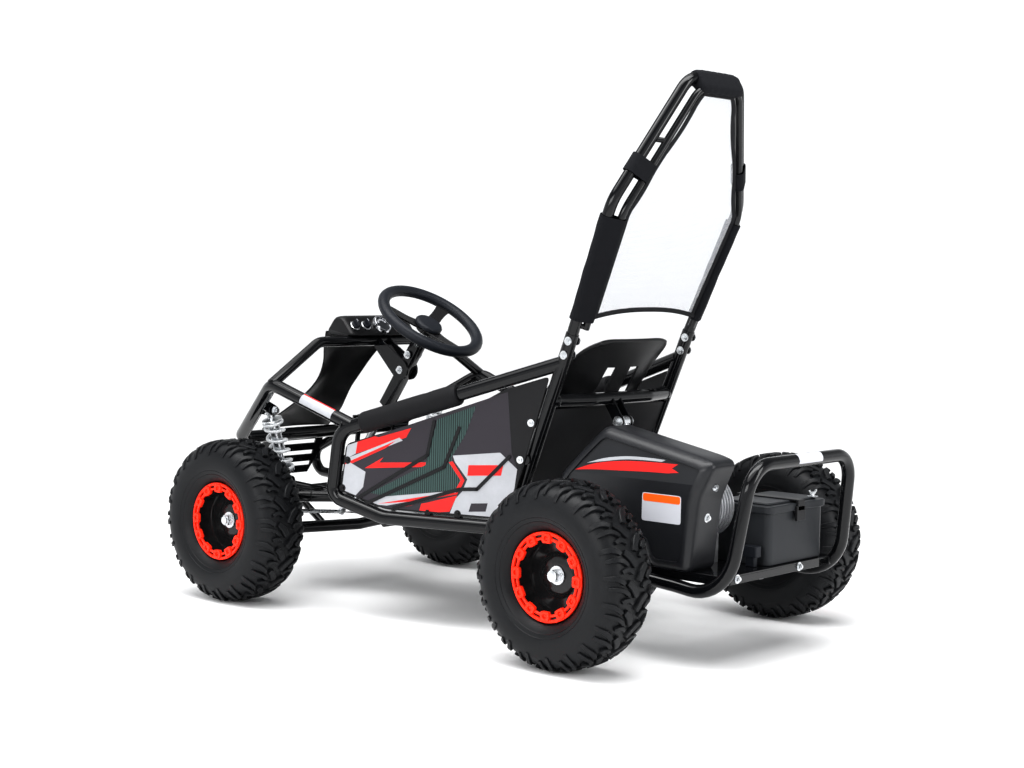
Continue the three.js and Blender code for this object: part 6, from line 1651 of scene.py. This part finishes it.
red_top = curved([(104, 326), (60, 341), (0, 350), (-60, 353), (-120, 354)])
red_low = curved([(-100, 337), (-60, 336), (0, 333), (60, 330), (104, 326)])
on_cover(red_top + [(-108, 346), (-124, 340)] + red_low[:-1], 0, 0.35)
grey_top = curved([(80, 340), (40, 352), (-10, 359), (-60, 360), (-92, 359)])
grey_low = curved([(-84, 355.4), (-40, 355), (0, 352.6), (40, 346.4), (80, 340)])
on_cover(grey_top + grey_low[:-1], 1, 0.35)
plate_box = softened(rectangle(-134, 250, -50, 300), 5, 3)
on_cover(plate_box, 3, 0.35)
on_cover(softened(rectangle(-132, 285, -52, 298.6), 4, 3), 2, 0.55)
roof_run = Vector((-218, 0, -40)).normalized()
roof = (roof_run, (0, 1, 0), Vector((-40, 0, 218)).normalized(), Vector((54, 0, 406)))
cover_film.mark = 3
cover_film.plate(softened(rectangle(88, 120, 178, 152), 4, 3), roof, 0.35)
cover_film.mark = 0
cover_film.plate(rectangle(92, 147, 174, 151), roof, 0.55)
finish_piece(cover_film, "cover_film", "swing", [red_vinyl, pale_vinyl, orange_vinyl, white_vinyl])
print("cover:", len(cover.faces), "faces in", len(depths), "rings")

# %% [markdown]
# ## Battery box
# A deep grey case with an overhanging lid. A strap holds it down, a wing nut sits on
# the back of the lid, and a plug stands beside it.
# %% Battery box
case = Piece()
base_box = rectangle(-214, -152, -96, 30)
case.plate(softened(base_box, 14), level(168.8), 93.4)
finish_piece(case, "battery_case", "swing", case_grey, ["battery_box"], bevel=1.5)
lid = Piece().plate(softened(rectangle(-219, -157, -91, 35), 16), level(262), 14)
lid.plate(softened(rectangle(-206, -144, -104, 22), 12), level(275), 5)
finish_piece(lid, "battery_lid", "swing", case_grey, bevel=3)
strap_piece = Piece()
strap_piece.block((-224, -74, 244), (-219, -46, 271)).block((-221, -71, 279), (-90, -49, 282.4))
strap_piece.block((-224, -71, 262), (-219, -49, 282.4))
finish_piece(strap_piece, "battery_strap", "swing", panel_black, bevel=1)
plug = Piece()
plug.plate(softened(rectangle(-206, 40, -176, 58), 3, 3), level(186), 20)
plug.block((-200, 43, 168.6), (-182, 55, 187))
finish_piece(plug, "battery_plug", "swing", grip_black, bevel=1.2)
clamp = Piece()
clamp.tube([(-205, -128, 281), (-205, -128, 286)], 3, sides=12)
for sign in (1, -1):
    wing = [(0, 0), (sign * 4, 0), (sign * 13, 7), (sign * 12, 10), (sign * 5, 6), (0, 6)]
    clamp.plate(wing, ((0, 1, 0), (0, 0, 1), (1, 0, 0), (-206.5, -128, 283)), 3)
clamp.block((-212, -136, 279.5), (-198, -120, 281.6))
finish_piece(clamp, "battery_clamp", "swing", zinc, bevel=0.5)
print("battery box:", len(case.faces) + len(lid.faces), "faces")

# %% [markdown]
# ## Axle, brake and pedals
# These are small machined parts whose solids already have the right form. A copy of
# each is softened at its edges, so that it catches the light like real metal, and
# each pedal gets five rubber ridges.
# %% Machined parts
refined("rear_axle", "axle", zinc, 0.4)
refined("brake_disc", "axle", disc_steel, 0.3)
refined("brake_caliper", "swing", cast_alloy, 1.2)
for word in ("throttle", "brake"):
    refined(word + "_pedal", word, gloss_black, 0.7)
ridges = {}
for word, y in (("throttle", -60), ("brake", 60)):
    ridge = Piece()
    turn = Matrix.Rotation(math.radians(-7), 3, "Y")
    pivot = Vector((812, y, 222))
    for k in range(5):
        low, high = Vector((-9.2, -21, 116 + k * 7)), Vector((-7.4, 21, 120 + k * 7))
        block = Piece().block(low, high)
        ridge.put([pivot + turn @ p for p in block.points], block.faces)
    ridges[word] = finish_piece(ridge, word + "_ridges", word, grip_black, bevel=0.4)
print("pedals have", len(ridges), "rubber faces")

# %% [markdown]
# ## Fasteners
# Every visible bolt is a washer, a head and a bit of thread, grown on a list of places.
# %% Bolts, nuts and screws
def mirrored_spots(spots):
    return spots + [((x, -y, z), (a, -b, c)) for (x, y, z), (a, b, c) in spots]


out = tuple(out_side)
screws, posts = ([(tuple(in_side(*screw_at(*s), 1.5)), out) for s in shares]
                 for shares in (panel_screw_shares, post_screw_shares))
hoop_bolts = [((121, 194.4, 559), (0, 1, 0)), ((131, 194.2, 533), (0, 1, 0))]
hoop_bolts += [((121, 169.6, 559), (0, -1, 0)), ((131, 169.4, 533), (0, -1, 0))]
shock_bolts = [((881.2, 250, 386), (1, 0, 0)), ((848.8, 250, 386), (-1, 0, 0))]
rear_bolts = [((118, 44.2, 404), (0, 1, 0)), ((118, 11.8, 404), (0, -1, 0))]
rear_bolts += [((225, 155.2, 190), (0, 1, 0)), ((225, -155.2, 190), (0, -1, 0))]
arm_bolts = [((987.2, 118, 205), (1, 0, 0)), ((737.8, 118, 205), (-1, 0, 0))]
column_bolts = [(tuple(on_column(d) + Vector((0, 16.6, 0))), (0, 1, 0)) for d in (70, 110)]
bolts = [
    ("panel_screws", "frame", mirrored_spots(screws), panel_black, (3.4, 2.6, 7.5, 20, 1.5)),
    ("post_screws", "frame", mirrored_spots(posts), zinc, (4.4, 3.2, 7, 6, 2)),
    ("hoop_bolts", "frame", mirrored_spots(hoop_bolts), zinc, (5.4, 4.4, 8, 6, 3, 2)),
    ("shock_bolts", "frame", mirrored_spots(shock_bolts), zinc, (7, 5.5, 9.5, 6, 4, 2)),
    ("pivot_bolts", "frame", rear_bolts, zinc, (7.5, 6, 11, 6, 4.5, 2)),
    ("arm_bolts", "frame", mirrored_spots(arm_bolts), zinc, (7, 5.5, 10, 6, 4, 2)),
    ("column_bolts", "frame", mirrored_spots(column_bolts), zinc, (5.6, 4.5, 8.5, 6, 3, 3)),
]
for side_name, sign in (("left", 1), ("right", -1)):
    kingpins = [((wheelbase, sign * 240, 208.4), (0, 0, 1)), ((wheelbase, sign * 240, 128), (0, 0, -1))]
    hub_spot = [((wheelbase, sign * 344.2, tyre_radius), (0, sign, 0))]
    bolts.append((side_name + "_kingpin_nuts", side_name + "_arm", kingpins, zinc, (8, 6, 10, 6, 4, 1)))
    bolts.append((side_name + "_hub_nut", side_name + "_upright", hub_spot, zinc, (11.2, 9.4, 16.4, 6, 8.2, 4)))
hub_nuts = mirrored_spots([((0, 358.2, tyre_radius), (0, 1, 0))])
cover_bolts = [((-174.5, 146, 316), (-0.92, 0, 0.38)), ((-162.5, 150, 262), (-0.99, 0, -0.12))]
tray_bolts = [((-222.2, -60, 160), (-1, 0, 0)), ((-222.2, 140, 161), (-1, 0, 0))]
bolts += [
    ("rear_hub_nuts", "axle", hub_nuts, zinc, (11.2, 9.4, 16.4, 6, 10.2, 4)),
    ("cover_bolts", "swing", cover_bolts, zinc, (5.2, 4.2, 8, 6, 3, 2)),
    ("tray_bolts", "swing", tray_bolts, zinc, (5.2, 4.2, 8, 6, 3, 2)),
]
for name, body, spots, finish, sizes in bolts:
    fasteners(name, body, spots, finish, *sizes)
print("fasteners done;", len(made), "pieces in all")

# %% [markdown]
# ## Small plates
# Plain plates without any words: a pale one with a red edge round the left leg, and
# one on the bumper.
# %% Plates on tubes
def tube_film(name, body, start, end, radius, low, high, finish):
    start, end = Vector(start), Vector(end)
    along = (end - start).normalized()
    side_way = Vector((0, 0, 1))
    side_way = (side_way - along * side_way.dot(along)).normalized()
    lift = along.cross(side_way)

    def wrap(u, v):
        angle = math.radians(low + (high - low) * u)
        spoke = side_way * math.cos(angle) + lift * math.sin(angle)
        return start + (end - start) * v + spoke * (radius + 0.1)

    film = skin(Piece(), steps(12), steps(2), wrap, 0.12)
    return finish_piece(film, name, body, [finish], angle=60)


leg_ends = [leg_path[0].lerp(leg_path[1], share) for share in (0.22, 0.6)]
tube_film("leg_plate", "frame", *leg_ends, rail_radius, -108, -22, pale_vinyl)
tube_film("leg_plate_edge", "frame", *leg_ends, rail_radius, -22, -8, red_vinyl)
bumper_ends = ((-262, 32, 362), (-262, -46, 362))
tube_film("bumper_plate", "swing", *bumper_ends, bumper_radius, 10, 112, white_vinyl)
print("plates on tubes done")

# %% [markdown]
# ## Studio
# A pale floor, a surround that is bright at the horizon and dim above, a soft sun and
# three large lamps. The long lamp overhead draws the bright line along every tube.
# %% Floor and lights
floor_mesh = bpy.data.meshes.new("studio_floor")
floor_mesh.from_pydata([(-14, -14, 0), (14, -14, 0), (14, 14, 0), (-14, 14, 0)], [], [(0, 1, 2, 3)])
floor_finish = Finish("studio_floor", Roughness=0.6)
floor_finish.feed("Base Color", floor_finish.mix(floor_finish.noise(0.5), tone(0.88, 0.88, 0.885), tone(0.9)))
floor_mesh.materials.append(floor_finish.material)


def on_stage(thing):
    show(thing)


on_stage(bpy.data.objects.new("studio_floor", floor_mesh))

world = bpy.data.worlds.new("studio")
bpy.context.scene.world = world
world.use_nodes = True
sky, backdrop = world.node_tree, world.node_tree.nodes["Background"]
backdrop.inputs["Color"].default_value = (0.97, 0.985, 1, 1)
facing_up = sky.nodes.new("ShaderNodeSeparateXYZ")
fade = sky.nodes.new("ShaderNodeMapRange")
for key, value in (("From Min", 0.2), ("From Max", 0.5), ("To Min", 1.0), ("To Max", 0.22)):
    fade.inputs[key].default_value = value
sky.links.new(sky.nodes.new("ShaderNodeTexCoord").outputs["Generated"], facing_up.inputs[0])
sky.links.new(facing_up.outputs["Z"], fade.inputs["Value"])
sky.links.new(fade.outputs["Result"], backdrop.inputs["Strength"])
bpy.context.scene.view_settings.view_transform = "Standard"
bpy.context.scene.view_settings.look = "Medium High Contrast"


def lamp(name, where, target, size, power):
    light = bpy.data.lights.new(name, "AREA")
    light.shape, light.size, light.size_y, light.energy = "RECTANGLE", size[0], size[1], power
    holder = bpy.data.objects.new(name, light)
    where, target = Vector(where), Vector(target)
    facing = (target - where).to_track_quat("-Z", "Y").to_matrix().to_4x4()
    holder.matrix_world = Matrix.Translation(where) @ facing
    on_stage(holder)


sun = bpy.data.lights.new("skylight", "SUN")
sun.energy, sun.angle = 2.3, 1.3
sun_holder = bpy.data.objects.new("skylight", sun)
sun_holder.rotation_euler = (math.radians(-14), math.radians(8), 0)
on_stage(sun_holder)
lamp("overhead", (-0.3, 0.6, 2.6), (0, 0, 0.3), (3.4, 1.0), 60)
lamp("left", (-0.6, 3.2, 1.4), (0, 0, 0.4), (2.0, 1.0), 35)
lamp("back", (-3.0, -0.4, 1.3), (-0.2, 0, 0.4), (0.8, 1.8), 30)

# %% [markdown]
# ## Bare solids and the last measure
# Any solid that shows through still needs a finish of its own.
# %% Finish
for name, node in frame["nodes"].items():
    if not node.data.materials or not node.data.materials[0]:
        node.data.materials.clear()
        node.data.materials.append(gloss_black)
print("pieces:", len(made))
